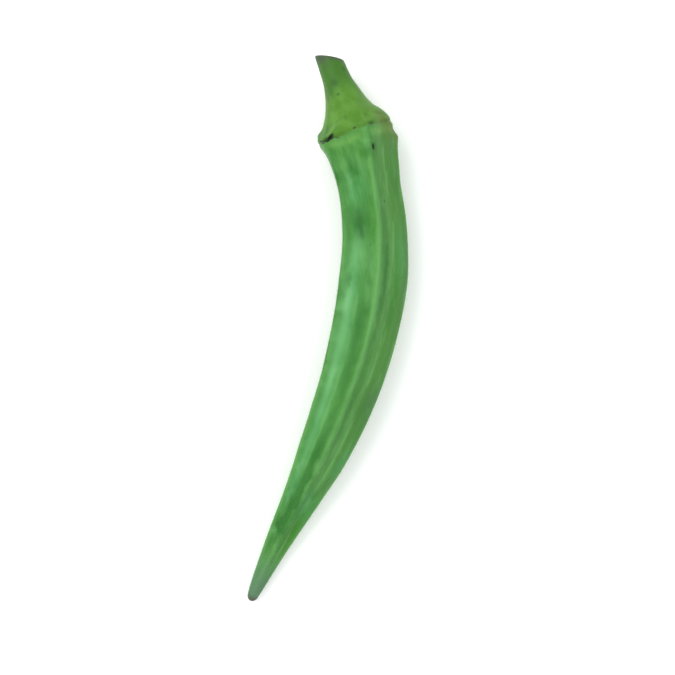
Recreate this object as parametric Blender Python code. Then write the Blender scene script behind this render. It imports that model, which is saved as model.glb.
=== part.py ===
"""Okra pod, picked, lying on its side.

The pod is one grown piece, so it is one solid: a cut stem, a flared cap, the scar line where the flower's
calyx fell off, and a five-ridged pod that bends and tapers to a blunt beak.
Units are metres. The surface it lies on is z = 0, and +Y runs from the beak to the cut stem.
"""

import math
from bisect import bisect_right

import bmesh
import bpy
from mathutils import Vector

MM = 0.001

# Driving dimensions, in millimetres. Places along the pod are measured on its axis from the cut stem.
LENGTH = 131.6
SCAR = 18.2
RIDGES = 5

# Largest radius of the section, on a ridge's crest, as (place, radius).
CREST_RADIUS = (
    (0.0, 2.98), (5.0, 3.17), (8.5, 3.9), (11.5, 4.97), (14.0, 6.3), (16.4, 7.95), (SCAR, 9.55),
    (19.6, 9.4), (22.4, 8.7), (26.0, 8.05), (32.0, 7.5), (42.0, 7.75), (52.0, 8.2), (66.0, 7.85),
    (80.0, 7.1), (92.0, 6.05), (102.0, 4.6), (112.0, 3.35), (122.0, 2.25), (128.0, 1.6), (LENGTH, 1.05),
)
BEAK_ROUND = 1.2

# The cap's fuller shoulder toward +X, as (place, extra radius), and the degrees that it spreads round.
SHOULDER = (
    (0.0, 0.0), (8.5, 0.2), (11.5, 0.05), (13.0, 0.05), (14.4, 0.65), (15.6, 0.8), (16.8, 0.0), (SCAR, -1.1),
    (21.0, -0.1), (24.0, -0.2), (30.0, -0.15), (38.0, 0.0), (LENGTH, 0.0),
)
SHOULDER_SPREAD = 50.0

# How flat the five sides are, as the power of the soft pentagon: 3 is round, 20 is nearly straight-sided.
FLATNESS = (
    (0.0, 2.9), (9.0, 3.0), (13.0, 3.8), (SCAR, 7.0), (23.0, 11.0), (40.0, 15.0), (100.0, 15.0), (120.0, 9.0),
    (LENGTH, 4.0),
)
# Strength of the ribs, grooves and hollow sides, from 0, none, to 1, full.
RELIEF = (
    (0.0, 0.0), (11.0, 0.0), (SCAR, 0.3), (21.0, 0.6), (30.0, 1.0), (98.0, 1.0), (118.0, 0.6), (129.0, 0.1),
    (LENGTH, 0.0),
)
HOLLOW = 0.035  # depth of a side's hollow, as a share of the radius
RIB_HEIGHT = 0.28
RIB_WIDTH = 0.75
FURROW_SHARE = 0.45  # depth of the two furrows that flank a rib, as a share of its height
SUTURE_DEPTH = 0.26  # the groove along the middle of a side, where the pod would split when ripe
SUTURE_WIDTH = 0.5

# Angles of the ridge crests at the scar, in degrees from the +X side, and how far they turn by the beak.
CREST_ANGLES = (1.0, 78.0, 145.0, 216.0, 287.0)
TWIST = 13.0
TWIST_START = 55.0

# The bend in the plane of the surface: the axis's heading in degrees from -Y toward +X, at places along it.
HEADINGS = (
    (0.0, 26.0), (8.0, 27.7), (14.0, 25.3), (20.0, 22.2), (34.0, 15.3), (50.0, 2.8), (85.0, -13.0),
    (110.0, -19.2), (LENGTH, -15.6),
)
# How far a section leans from square to the axis, in degrees, its +X side toward the beak, at places along
# the axis. At the stem's end this is the slope of the cut.
LEAN = ((0.0, 27.0), (8.0, 5.0), (SCAR, 5.5), (45.0, 0.0), (LENGTH, 0.0))

# Gap between the pod's lowest line and the surface, as (place, gap). Below zero, a ridge is pressed flat: the
# pod rests on three such places, at its shoulder, its belly and near its beak. The last gap is under the
# beak's point.
GAP = (
    (0.0, 4.4), (9.0, 3.9), (19.8, -0.25), (36.0, 0.7), (54.0, -0.3), (74.0, 0.3), (96.0, 0.4),
    (112.0, 0.2), (120.0, -0.1), (127.0, 0.3), (LENGTH, 1.9),
)

# The scar: a narrow scalloped groove with a raised lip on each side. Its ring tilts forward on one side, by
# a length and toward an angle in degrees. The scallops and the tilt fade out within their reach.
SCAR_DEPTH = 0.38
SCAR_WIDTH = 0.34
SCALLOP = 1.0
SCALLOP_REACH = 3.0
SCAR_TILT = 0.6
SCAR_TILT_WAY = 165.0
SCAR_TILT_REACH = 7.0
LIP_HEIGHT = 0.16
LIP_WIDTH = 0.55

# The cut end has a worn rim and a slightly sunk face, as (share of the radius, share of the dish's depth).
RIM = 0.28
CUT_DISH = 0.14
CUT_FACE = ((0.3, 1.0), (0.7, 0.6))

# Places of the rings of points, as (from, to, step), the turns of the rings on the beak's round end in
# degrees, and the shares of a ridge-to-ridge side at which its points lie.
RING_RUNS = (
    (RIM, 10.0, 1.6), (10.0, 16.8, 1.0), (16.8, 20.0, 0.32), (20.0, 26.0, 1.0), (26.0, 104.0, 2.8),
    (104.0, 126.0, 2.0), (126.0, LENGTH - BEAK_ROUND, 1.0),
)
BEAK_TURNS = (25.0, 50.0, 72.0)
SIDE_SHARES = (0.0, 0.05, 0.12, 0.21, 0.33, 0.45, 0.5, 0.55, 0.67, 0.79, 0.88, 0.95)
AXIS_STEP = 0.2
REACH_STEPS = 180


def through(points, place):
    """The value at a place on a smooth curve through the points, which never overshoots them."""
    places = [point[0] for point in points]
    values = [point[1] for point in points]
    if place <= places[0]:
        return values[0]
    if place >= places[-1]:
        return values[-1]
    slopes = [(values[i + 1] - values[i]) / (places[i + 1] - places[i]) for i in range(len(points) - 1)]
    leans = [slopes[0]]
    for before, after in zip(slopes, slopes[1:]):
        leans.append(2 * before * after / (before + after) if before * after > 0 else 0.0)
    leans.append(slopes[-1])
    i = bisect_right(places, place) - 1
    span = places[i + 1] - places[i]
    t = (place - places[i]) / span
    return (
        values[i] * (1 + 2 * t) * (1 - t) ** 2
        + values[i + 1] * t * t * (3 - 2 * t)
        + leans[i] * span * t * (1 - t) ** 2
        - leans[i + 1] * span * t * t * (1 - t)
    )


def ease(value, start, end):
    """0 before start, 1 after end, and smooth in between."""
    t = min(1.0, max(0.0, (value - start) / (end - start)))
    return t * t * (3 - 2 * t)


def hump(distance, width):
    """A round bump, 1 high at its middle."""
    return math.exp(-((distance / width) ** 2))


def crest_angles(place):
    """The ridge crests' angles in radians at a place along the pod."""
    turn = TWIST * ease(place, TWIST_START, LENGTH)
    return [math.radians(angle + turn) for angle in CREST_ANGLES]


def turn_between(angle, other):
    """The signed turn from one angle to another, within half a circle."""
    return (other - angle + math.pi) % (2 * math.pi) - math.pi


def section_radius(place, angle):
    """The radius of the section at a place along the pod, in the direction of an angle round it."""
    crests = crest_angles(place)
    size = through(CREST_RADIUS, place)
    power = through(FLATNESS, place)
    relief = through(RELIEF, place)
    middles = [
        crest + turn_between(crest, crests[(i + 1) % RIDGES]) / 2 for i, crest in enumerate(crests)
    ]
    half_side = math.pi / RIDGES
    flats = sum(max(0.0, math.cos(angle - middle)) ** power for middle in middles)
    crest_flats = 2 * math.cos(half_side) ** power
    radius = size * (crest_flats / flats) ** (1 / power)
    from_middle = min(abs(turn_between(angle, middle)) for middle in middles)
    across = min(1.0, from_middle / half_side)
    radius -= relief * HOLLOW * size * (1 - across**2) ** 2
    radius -= relief * SUTURE_DEPTH * hump(from_middle * radius, SUTURE_WIDTH)
    from_crest = min(abs(turn_between(angle, crest)) for crest in crests) * radius
    furrows = FURROW_SHARE * hump(from_crest - 2 * RIB_WIDTH, RIB_WIDTH)
    radius += relief * RIB_HEIGHT * (hump(from_crest, RIB_WIDTH) - furrows)
    from_shoulder = turn_between(angle, 0.0) / math.radians(SHOULDER_SPREAD)
    radius += through(SHOULDER, place) * hump(from_shoulder, 1.0)
    from_scar = place - SCAR
    radius -= SCAR_DEPTH * hump(from_scar, SCAR_WIDTH)
    radius += LIP_HEIGHT * hump(abs(from_scar) - 2 * SCAR_WIDTH, LIP_WIDTH)
    if place > LENGTH - BEAK_ROUND:
        into_beak = (place - LENGTH + BEAK_ROUND) / BEAK_ROUND
        radius *= math.sqrt(max(0.0, 1 - into_beak**2))
    return radius


def lowest_reach(place):
    """How far the section reaches below the axis."""
    angles = [math.tau * i / REACH_STEPS for i in range(REACH_STEPS)]
    return max(-math.sin(angle) * section_radius(place, angle) for angle in angles)


def heights():
    """The axis's height above the surface, as (place, height): the section's reach and the gap under it."""
    return [(place, lowest_reach(place) + gap) for place, gap in GAP]


def make_axis():
    """Points and headings along the axis, one each AXIS_STEP, with the stem right above the beak in Y."""
    count = round(LENGTH / AXIS_STEP)
    places = [LENGTH * i / count for i in range(count + 1)]
    headings = [math.radians(through(HEADINGS, place)) for place in places]
    step = LENGTH / count
    for _ in range(2):
        x, y = 0.0, 0.0
        points = [(x, y)]
        for first, second in zip(headings, headings[1:]):
            middle = (first + second) / 2
            x += step * math.sin(middle)
            y -= step * math.cos(middle)
            points.append((x, y))
        lean = math.atan2(x, -y)
        headings = [heading - lean for heading in headings]
    high = heights()
    return [
        (Vector((px, py, through(high, place))), heading)
        for (px, py), heading, place in zip(points, headings, places)
    ]


def frame_at(axis, place):
    """The axis's point at a place, with the unit vectors across it and up from it."""
    at = min(max(place / LENGTH, 0.0), 1.0) * (len(axis) - 1)
    low = min(int(at), len(axis) - 2)
    (start, first), (end, second) = axis[low], axis[low + 1]
    share = at - low
    heading = first + (second - first) * share
    along = (end - start).normalized()
    across = Vector((math.cos(heading), math.sin(heading), 0.0))
    return start.lerp(end, share), across, along.cross(across).normalized()


def ring_points(axis, place, inset=0.0, shrink=1.0, sink=0.0):
    """One ring of surface points round the pod.

    A ring leans with the section, and near the scar it follows the scar's scallops and tilt.
    inset and shrink make the ring smaller, and sink moves it into the pod.
    """
    points = []
    centre, across, up = frame_at(axis, place)
    along = across.cross(up)
    crests = crest_angles(place)
    slope = math.tan(math.radians(through(LEAN, place)))
    for i, crest in enumerate(crests):
        side = turn_between(crest, crests[(i + 1) % RIDGES]) % math.tau
        for share in SIDE_SHARES:
            angle = crest + side * share
            radius = (section_radius(place, angle) - inset) * shrink
            scallop = SCALLOP * math.cos(math.tau * share) * hump(place - SCAR, SCALLOP_REACH)
            toward = math.cos(angle - math.radians(SCAR_TILT_WAY))
            tilt = SCAR_TILT * toward * hump(place - SCAR, SCAR_TILT_REACH)
            lean = slope * radius * math.cos(angle)
            point = centre + along * (lean + scallop + tilt + sink)
            point += radius * (across * math.cos(angle) + up * math.sin(angle))
            point.z = max(point.z, 0.0)
            points.append(point)
    return points


def ring_places():
    """Places of the rings from the rim of the cut to the start of the beak's round end."""
    places = []
    for start, end, step in RING_RUNS:
        count = max(1, round((end - start) / step))
        places += [start + (end - start) * i / count for i in range(count)]
    places.append(RING_RUNS[-1][1])
    return places


def pod_rings(axis):
    """Every ring from the middle of the cut face to the beak."""
    cut = [ring_points(axis, 0.0, shrink=share, sink=CUT_DISH * dish) for share, dish in CUT_FACE]
    rim = [ring_points(axis, 0.0, inset=RIM), ring_points(axis, 0.0, inset=RIM / 3, sink=RIM / 3)]
    body = [ring_points(axis, place) for place in ring_places()]
    beak = [LENGTH - BEAK_ROUND * (1 - math.sin(math.radians(turn))) for turn in BEAK_TURNS]
    return cut + rim + body + [ring_points(axis, place) for place in beak]


def loft(name, rings, first, last):
    """A closed mesh through rings of points, with a fan to a point at each end."""
    bm = bmesh.new()
    loops = [[bm.verts.new(point * MM) for point in ring] for ring in rings]
    for one, two in zip(loops, loops[1:]):
        for i in range(len(one)):
            j = (i + 1) % len(one)
            bm.faces.new((one[i], two[i], two[j], one[j]))
    for loop, end in ((loops[0], first), (loops[-1], last)):
        tip = bm.verts.new(end * MM)
        for i in range(len(loop)):
            bm.faces.new((loop[i], loop[(i + 1) % len(loop)], tip))
    bmesh.ops.triangulate(bm, faces=bm.faces[:], quad_method="SHORT_EDGE")
    bmesh.ops.recalc_face_normals(bm, faces=bm.faces[:])
    mesh = bpy.data.meshes.new(name)
    bm.to_mesh(mesh)
    bm.free()
    return mesh


def skin_material():
    """Fresh okra skin: mid green, soft and a little waxy."""
    material = bpy.data.materials.new("okra_skin")
    material.use_nodes = True
    shader = material.node_tree.nodes["Principled BSDF"]
    shader.inputs["Base Color"].default_value = (0.100, 0.270, 0.075, 1.0)
    shader.inputs["Roughness"].default_value = 0.5
    shader.inputs["Metallic"].default_value = 0.0
    return material


def make_pod(collection):
    """The whole pod as one object, centred over its footprint."""
    axis = make_axis()
    rings = pod_rings(axis)
    cut_middle, cut_across, cut_up = frame_at(axis, 0.0)
    mesh = loft("okra_pod", rings, cut_middle + cut_across.cross(cut_up) * CUT_DISH, axis[-1][0])
    mesh.materials.append(skin_material())
    xs = [vertex.co.x for vertex in mesh.vertices]
    ys = [vertex.co.y for vertex in mesh.vertices]
    middle = Vector(((min(xs) + max(xs)) / 2, (min(ys) + max(ys)) / 2, 0.0))
    for vertex in mesh.vertices:
        vertex.co -= middle
    mesh.shade_smooth()
    mesh.set_sharp_from_angle(angle=math.radians(50))
    pod = bpy.data.objects.new("okra_pod", mesh)
    collection.objects.link(pod)
    return pod


def main():
    for old in list(bpy.data.objects):
        bpy.data.objects.remove(old, do_unlink=True)
    collection = bpy.data.collections.new("okra_pod")
    bpy.context.scene.collection.children.link(collection)
    make_pod(collection)


main()
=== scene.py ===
"""A fresh okra pod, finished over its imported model.

The pod lies on a pale floor with +Y from its beak to its cut stem. Its skin is swept along a bent spine by a
Geometry Nodes tree that follows the same section rule as the solid, and adds what is too fine for the solid:
the swellings over the seeds, the streaks, the scalloped scar of the fallen calyx and the pits of its bracts.
A second tree grows the short hairs, and a third sets the dry shreds that the calyx left in its scar.
Sizes are millimetres unless a name says otherwise, and meshes are metres.
"""

import logging
import math
from bisect import bisect_right
from collections.abc import Mapping, Sequence
from dataclasses import dataclass, field
from enum import Enum
from typing import ClassVar, NamedTuple

import bmesh
import bpy
from mathutils import Matrix, Vector

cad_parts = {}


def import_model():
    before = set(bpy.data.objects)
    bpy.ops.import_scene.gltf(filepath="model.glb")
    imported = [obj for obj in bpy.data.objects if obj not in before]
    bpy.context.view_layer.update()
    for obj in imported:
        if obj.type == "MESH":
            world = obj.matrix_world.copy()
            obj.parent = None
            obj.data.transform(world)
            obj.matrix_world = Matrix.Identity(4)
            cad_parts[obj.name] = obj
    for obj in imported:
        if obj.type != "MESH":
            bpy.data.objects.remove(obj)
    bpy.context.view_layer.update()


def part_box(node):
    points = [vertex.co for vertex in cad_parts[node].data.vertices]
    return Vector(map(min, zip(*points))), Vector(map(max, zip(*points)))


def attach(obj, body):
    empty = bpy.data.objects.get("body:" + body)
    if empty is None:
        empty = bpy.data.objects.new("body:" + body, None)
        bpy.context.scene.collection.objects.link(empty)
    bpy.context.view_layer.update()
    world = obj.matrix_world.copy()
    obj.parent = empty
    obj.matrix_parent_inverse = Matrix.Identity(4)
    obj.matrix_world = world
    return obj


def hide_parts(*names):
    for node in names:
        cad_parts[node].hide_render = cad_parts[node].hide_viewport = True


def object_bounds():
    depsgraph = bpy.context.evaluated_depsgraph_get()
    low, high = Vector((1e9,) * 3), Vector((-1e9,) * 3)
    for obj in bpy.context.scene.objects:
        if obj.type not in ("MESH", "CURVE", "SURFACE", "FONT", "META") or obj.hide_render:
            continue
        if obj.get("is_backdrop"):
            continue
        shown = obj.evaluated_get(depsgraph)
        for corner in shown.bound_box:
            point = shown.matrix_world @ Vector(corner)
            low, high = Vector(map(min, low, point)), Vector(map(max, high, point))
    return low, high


LOG = logging.getLogger("okra_pod")
MM = 0.001
NODE = "okra_pod"
BODY = "root"

SIDES = 5
"""How many sides the pod has, with a ridge between each two."""

SHARED_SIZES = (
    "hollow", "rib_height", "rib_width", "furrow_share", "suture_width", "scar_depth", "scar_width",
    "scallop", "scallop_reach", "scar_tilt", "scar_tilt_reach", "lip_height", "lip_width",
)
"""The sizes that the skin takes from the pod's form as they are."""

RING_NUMBERS = ("inset", "shrink", "sink", "size", "power", "relief", "shoulder", "slope", "twist", "taper")
"""What each ring of the skin brings along besides its place. The finished skin doesn't keep it."""

RING_ARROWS = ("centre", "across", "up", "along")
"""Where each ring stands and which way it faces. The finished skin doesn't keep it."""

SKIN_MARKS = ("crest_mm", "middle_mm", "scar_mm", "seed", "cut_in", "bract", "dent", "open")
"""What the finished skin tells its material, the hairs and the shreds at each point."""

Triple = tuple[float, float, float]
Colour = tuple[float, float, float, float]
Row = tuple[float, float, float, float, float]
Table = Sequence[tuple[float, float]]
Step = tuple[str, str, *tuple[str | float, ...]]
Object = bpy.types.Object
Material = bpy.types.Material
Tree = bpy.types.NodeTree
Node = bpy.types.Node
Socket = bpy.types.NodeSocket
Sockets = dict[str, Socket]


class Pattern(NamedTuple):
    """A random pattern, by the size of its grains across and along the pod."""

    name: str
    across: float
    along: float
    detail: float = 1.0


class Spot(NamedTuple):
    """A soft spot: its angle in degrees, its place along the pod, its half sizes and its strength."""

    angle: float
    place: float
    width: float
    length: float
    strength: float


def spots(*rows: Row) -> tuple[Spot, ...]:
    """Return soft spots, one from each row of its angle, place, half width, half length and strength."""
    return tuple(Spot(*row) for row in rows)


# --- Small helpers -----------------------------------------------------------------------------------------


def through(points: Table, place: float) -> float:
    """Read a smooth curve through points, which never overshoots them.

    Args:
        points: The (place, value) points in order of place.
        place: Where to read the curve.

    Returns:
        The curve's value, held at the end values outside the points.
    """
    places = [point[0] for point in points]
    values = [point[1] for point in points]
    if place <= places[0]:
        return values[0]
    if place >= places[-1]:
        return values[-1]
    slopes = [(values[i + 1] - values[i]) / (places[i + 1] - places[i]) for i in range(len(points) - 1)]
    leans = [slopes[0]]
    for before, after in zip(slopes, slopes[1:]):
        leans.append(2 * before * after / (before + after) if before * after > 0 else 0.0)
    leans.append(slopes[-1])
    i = bisect_right(places, place) - 1
    span = places[i + 1] - places[i]
    t = (place - places[i]) / span
    return (
        values[i] * (1 + 2 * t) * (1 - t) ** 2
        + values[i + 1] * t * t * (3 - 2 * t)
        + leans[i] * span * t * (1 - t) ** 2
        - leans[i + 1] * span * t * t * (1 - t)
    )


def ease(value: float, start: float, end: float) -> float:
    """Return 0 before start, 1 after end, and a smooth rise in between."""
    t = min(1.0, max(0.0, (value - start) / (end - start)))
    return t * t * (3 - 2 * t)


def hump(distance: float, width: float) -> float:
    """Return the height of a round bump that is 1 high at its middle."""
    return math.exp(-((distance / width) ** 2))


def turn_between(angle: float, other: float) -> float:
    """Return the signed turn from one angle to another, within half a circle."""
    return (other - angle + math.pi) % math.tau - math.pi


def linear(colour: str) -> Colour:
    """Turn an sRGB hex colour into the linear colour that a shader takes.

    Args:
        colour: Six hex digits, with or without a leading hash.

    Returns:
        Linear red, green, blue and full alpha.
    """
    digits = colour.lstrip("#")
    levels = [int(digits[i:i + 2], 16) / 255 for i in (0, 2, 4)]
    red, green, blue = [v / 12.92 if v <= 0.04045 else ((v + 0.055) / 1.055) ** 2.4 for v in levels]
    return red, green, blue, 1.0


def put(name: str, data: bpy.types.ID) -> Object:
    """Put a mesh, a lamp or a camera in the scene.

    Args:
        name: The object's name.
        data: What it shows.

    Returns:
        The object.
    """
    thing = bpy.data.objects.new(name, data)
    bpy.context.scene.collection.objects.link(thing)
    return thing


def add(
    tree: Tree,
    kind: str,
    settings: Mapping[str, object] | None = None,
    inputs: Mapping[str | int, object] | None = None,
) -> Node:
    """Add a node to a tree, set it up and link it.

    Args:
        tree: The tree that gets the node.
        kind: The node's type name.
        settings: Values of the node's own properties.
        inputs: For each input, by name or number, the socket that feeds it or its constant.

    Returns:
        The new node.
    """
    node = tree.nodes.new(kind)
    for key, value in (settings or {}).items():
        setattr(node, key, value)
    for key, value in (inputs or {}).items():
        if isinstance(value, Socket):
            tree.links.new(value, node.inputs[key])
        else:
            node.inputs[key].default_value = value
    return node


def work_out(tree: Tree, steps: Sequence[Step], known: Sockets) -> None:
    """Add a chain of sums to a tree.

    Args:
        tree: The tree that gets the sums.
        steps: For each sum its name, its operation, and its operands: numbers, or names known before it.
            The operation is one of a Math node's, HUMP for a round bump of a distance, a width and a height,
            or RISE for a smooth rise from 0 to 1 of a value between two limits.
        known: The sockets by name. Each sum joins it under its own name.
    """
    for name, operation, *operands in steps:
        inputs = {i: known.get(operand, operand) for i, operand in enumerate(operands)}
        if operation == "HUMP":
            kind = tree.bl_idname.replace("Tree", "Group")
            node = add(tree, kind, {"node_tree": hump_group(tree.bl_idname)}, inputs)
        elif operation == "RISE":
            node = add(tree, "ShaderNodeMapRange", {"interpolation_type": "SMOOTHSTEP"}, inputs)
        else:
            node = add(tree, "ShaderNodeMath", {"operation": operation}, inputs)
        known[name] = node.outputs[0]


HUMP_STEPS: tuple[Step, ...] = (
    ("ratio", "DIVIDE", "Distance", "Width"),
    ("square", "MULTIPLY", "ratio", "ratio"),
    ("fall", "MULTIPLY", "square", -1.0),
    ("shape", "EXPONENT", "fall"),
    ("bump", "MULTIPLY", "shape", "Height"),
)
"""The same round bump as hump()."""


def hump_group(kind: str) -> Tree:
    """Return the node group that gives a round bump's height, making it at the first call.

    Args:
        kind: The type of the trees that use the group.

    Returns:
        The group, whose inputs are a distance, a width and a height.
    """
    label = f"round_bump_{kind}"
    if label in bpy.data.node_groups:
        return bpy.data.node_groups[label]
    tree = bpy.data.node_groups.new(label, kind)
    sizes = {"Distance": 0.0, "Width": 1.0, "Height": 1.0}
    for name, default in sizes.items():
        size = tree.interface.new_socket(name=name, in_out="INPUT", socket_type="NodeSocketFloat")
        size.default_value = default
    tree.interface.new_socket(name="Bump", in_out="OUTPUT", socket_type="NodeSocketFloat")
    entry = add(tree, "NodeGroupInput")
    known = {name: entry.outputs[name] for name in sizes}
    work_out(tree, HUMP_STEPS, known)
    add(tree, "NodeGroupOutput", {}, {"Bump": known["bump"]})
    return tree


def draw_patterns(tree: Tree, chart: Socket, patterns: Sequence[Pattern], known: Sockets) -> None:
    """Add random patterns that are drawn on straightened coordinates.

    Args:
        tree: The tree that gets the patterns.
        chart: The coordinates, in millimetres, with the length along the pod last.
        patterns: The patterns.
        known: The sockets by name. Each pattern joins it under its own name.
    """
    for pattern in patterns:
        pull = (1.0, 1.0, pattern.across / pattern.along)
        pulled = add(tree, "ShaderNodeVectorMath", {"operation": "MULTIPLY"}, {0: chart, 1: pull})
        node = add(
            tree, "ShaderNodeTexNoise", {},
            {"Vector": pulled.outputs[0], "Scale": 1 / pattern.across, "Detail": pattern.detail},
        )
        known[pattern.name] = node.outputs[0]


def draw_spots(
    tree: Tree, chart: Socket, name: str, rows: Sequence[Spot], form: "PodForm", known: Sockets
) -> None:
    """Add the strengths of a few soft spots at given places of the skin, as one sum.

    Args:
        tree: The tree that gets the spots.
        chart: The coordinates, in millimetres, with the length along the pod last.
        name: The name under which the sum joins the known sockets.
        rows: The spots.
        form: The pod's form, which turns an angle and a place into coordinates.
        known: The sockets by name.
    """
    work_out(tree, ((name, "ADD", 0.0, 0.0),), known)
    for spot in rows:
        pull = Vector((1.0, 1.0, spot.width / spot.length))
        arm = through(form.crest_radius, spot.place)
        angle = math.radians(spot.angle)
        centre = Vector((arm * math.cos(angle), arm * math.sin(angle), spot.place)) * pull
        pulled = add(tree, "ShaderNodeVectorMath", {"operation": "MULTIPLY"}, {0: chart, 1: pull})
        inputs = {0: pulled.outputs[0], 1: centre}
        apart = add(tree, "ShaderNodeVectorMath", {"operation": "DISTANCE"}, inputs)
        known["apart"] = apart.outputs["Value"]
        steps = (("spot", "HUMP", "apart", spot.width, spot.strength), (name, "ADD", name, "spot"))
        work_out(tree, steps, known)


def layered(tree: Tree, ground: str, layers: Sequence[tuple[str, str]], known: Sockets) -> Socket:
    """Lay colours over a ground colour, each as far as its mask says.

    Args:
        tree: The tree that gets the nodes.
        ground: The ground colour.
        layers: The name of each layer's mask, and its colour, from the ground up.
        known: The sockets by name.

    Returns:
        The colour of the whole.
    """
    below: Socket | Colour = linear(ground)
    for mask, colour in layers:
        inputs = {0: known[mask], 6: below, 7: linear(colour)}
        below = add(tree, "ShaderNodeMix", {"data_type": "RGBA"}, inputs).outputs[2]
    return below


def new_material(name: str) -> tuple[Material, Tree]:
    """Start a material.

    Args:
        name: The material's name.

    Returns:
        The material and its empty tree.
    """
    material = bpy.data.materials.new(name)
    material.use_nodes = True
    material.node_tree.nodes.clear()
    return material, material.node_tree


def end_material(tree: Tree, surface: Mapping[str, object]) -> None:
    """End a material's tree in a surface with the given inputs."""
    shader = add(tree, "ShaderNodeBsdfPrincipled", {}, surface)
    add(tree, "ShaderNodeOutputMaterial", {}, {"Surface": shader.outputs[0]})


def new_tree(
    name: str, sizes: Mapping[str, float], numbers: Sequence[str] = (), arrows: Sequence[str] = ()
) -> tuple[Tree, Node, Sockets]:
    """Start a Geometry Nodes tree with a geometry, a material and named sizes as its inputs.

    Args:
        name: The tree's name.
        sizes: The name and default of each size.
        numbers: The numbers that the tree reads from its geometry's points.
        arrows: The vectors that it reads from them.

    Returns:
        The tree, its input node, and the sockets of the sizes, numbers and vectors by name.
    """
    tree = bpy.data.node_groups.new(name, "GeometryNodeTree")
    tree.interface.new_socket(name="Geometry", in_out="INPUT", socket_type="NodeSocketGeometry")
    tree.interface.new_socket(name="Material", in_out="INPUT", socket_type="NodeSocketMaterial")
    for size, default in sizes.items():
        kind = "NodeSocketInt" if isinstance(default, int) else "NodeSocketFloat"
        socket = tree.interface.new_socket(name=size, in_out="INPUT", socket_type=kind)
        socket.default_value = default
    tree.interface.new_socket(name="Geometry", in_out="OUTPUT", socket_type="NodeSocketGeometry")
    entry = add(tree, "NodeGroupInput")
    known = {size: entry.outputs[size] for size in sizes}
    for kind, marks in (("FLOAT", numbers), ("FLOAT_VECTOR", arrows)):
        for mark in marks:
            reader = add(tree, "GeometryNodeInputNamedAttribute", {"data_type": kind}, {"Name": mark})
            known[mark] = reader.outputs["Attribute"]
    return tree, entry, known


def end_tree(tree: Tree, entry: Node, geometry: Socket) -> None:
    """End a Geometry Nodes tree: make its instances real, set the material and put the result out.

    Args:
        tree: The tree.
        entry: Its input node.
        geometry: What it has made.
    """
    real = add(tree, "GeometryNodeRealizeInstances", {}, {"Geometry": geometry}).outputs[0]
    inputs = {"Geometry": real, "Material": entry.outputs["Material"]}
    dressed = add(tree, "GeometryNodeSetMaterial", {}, inputs)
    add(tree, "NodeGroupOutput", {}, {"Geometry": dressed.outputs[0]})


def grow(
    source: Object,
    tree: Tree,
    name: str,
    material: Material,
    sizes: Mapping[str, float],
) -> Object:
    """Run a tree on an object and keep the result as a new plain mesh object.

    Args:
        source: The object whose geometry the tree starts from. It is left as it was.
        tree: The Geometry Nodes tree.
        name: The new object's name.
        material: The material that the tree sets.
        sizes: The value of each of the tree's named sizes.

    Returns:
        The new object, at the origin, with no modifier.
    """
    modifier = source.modifiers.new(name, "NODES")
    modifier.node_group = tree
    values = {"Material": material, **sizes}
    for item in tree.interface.items_tree:
        if item.item_type == "SOCKET" and item.in_out == "INPUT" and item.name in values:
            modifier[item.identifier] = values[item.name]
    source.update_tag()
    graph = bpy.context.evaluated_depsgraph_get()
    graph.update()
    mesh = bpy.data.meshes.new_from_object(source.evaluated_get(graph), depsgraph=graph)
    source.modifiers.remove(modifier)
    mesh.name = name
    return put(name, mesh)


def faces_outward(piece: Object) -> None:
    """Turn every face of closed shells outward and shade them smooth.

    Args:
        piece: The object with the shells.
    """
    work = bmesh.new()
    work.from_mesh(piece.data)
    bmesh.ops.recalc_face_normals(work, faces=work.faces[:])
    work.to_mesh(piece.data)
    work.free()
    piece.data.shade_smooth()


# --- The pod's form ----------------------------------------------------------------------------------------


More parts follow.
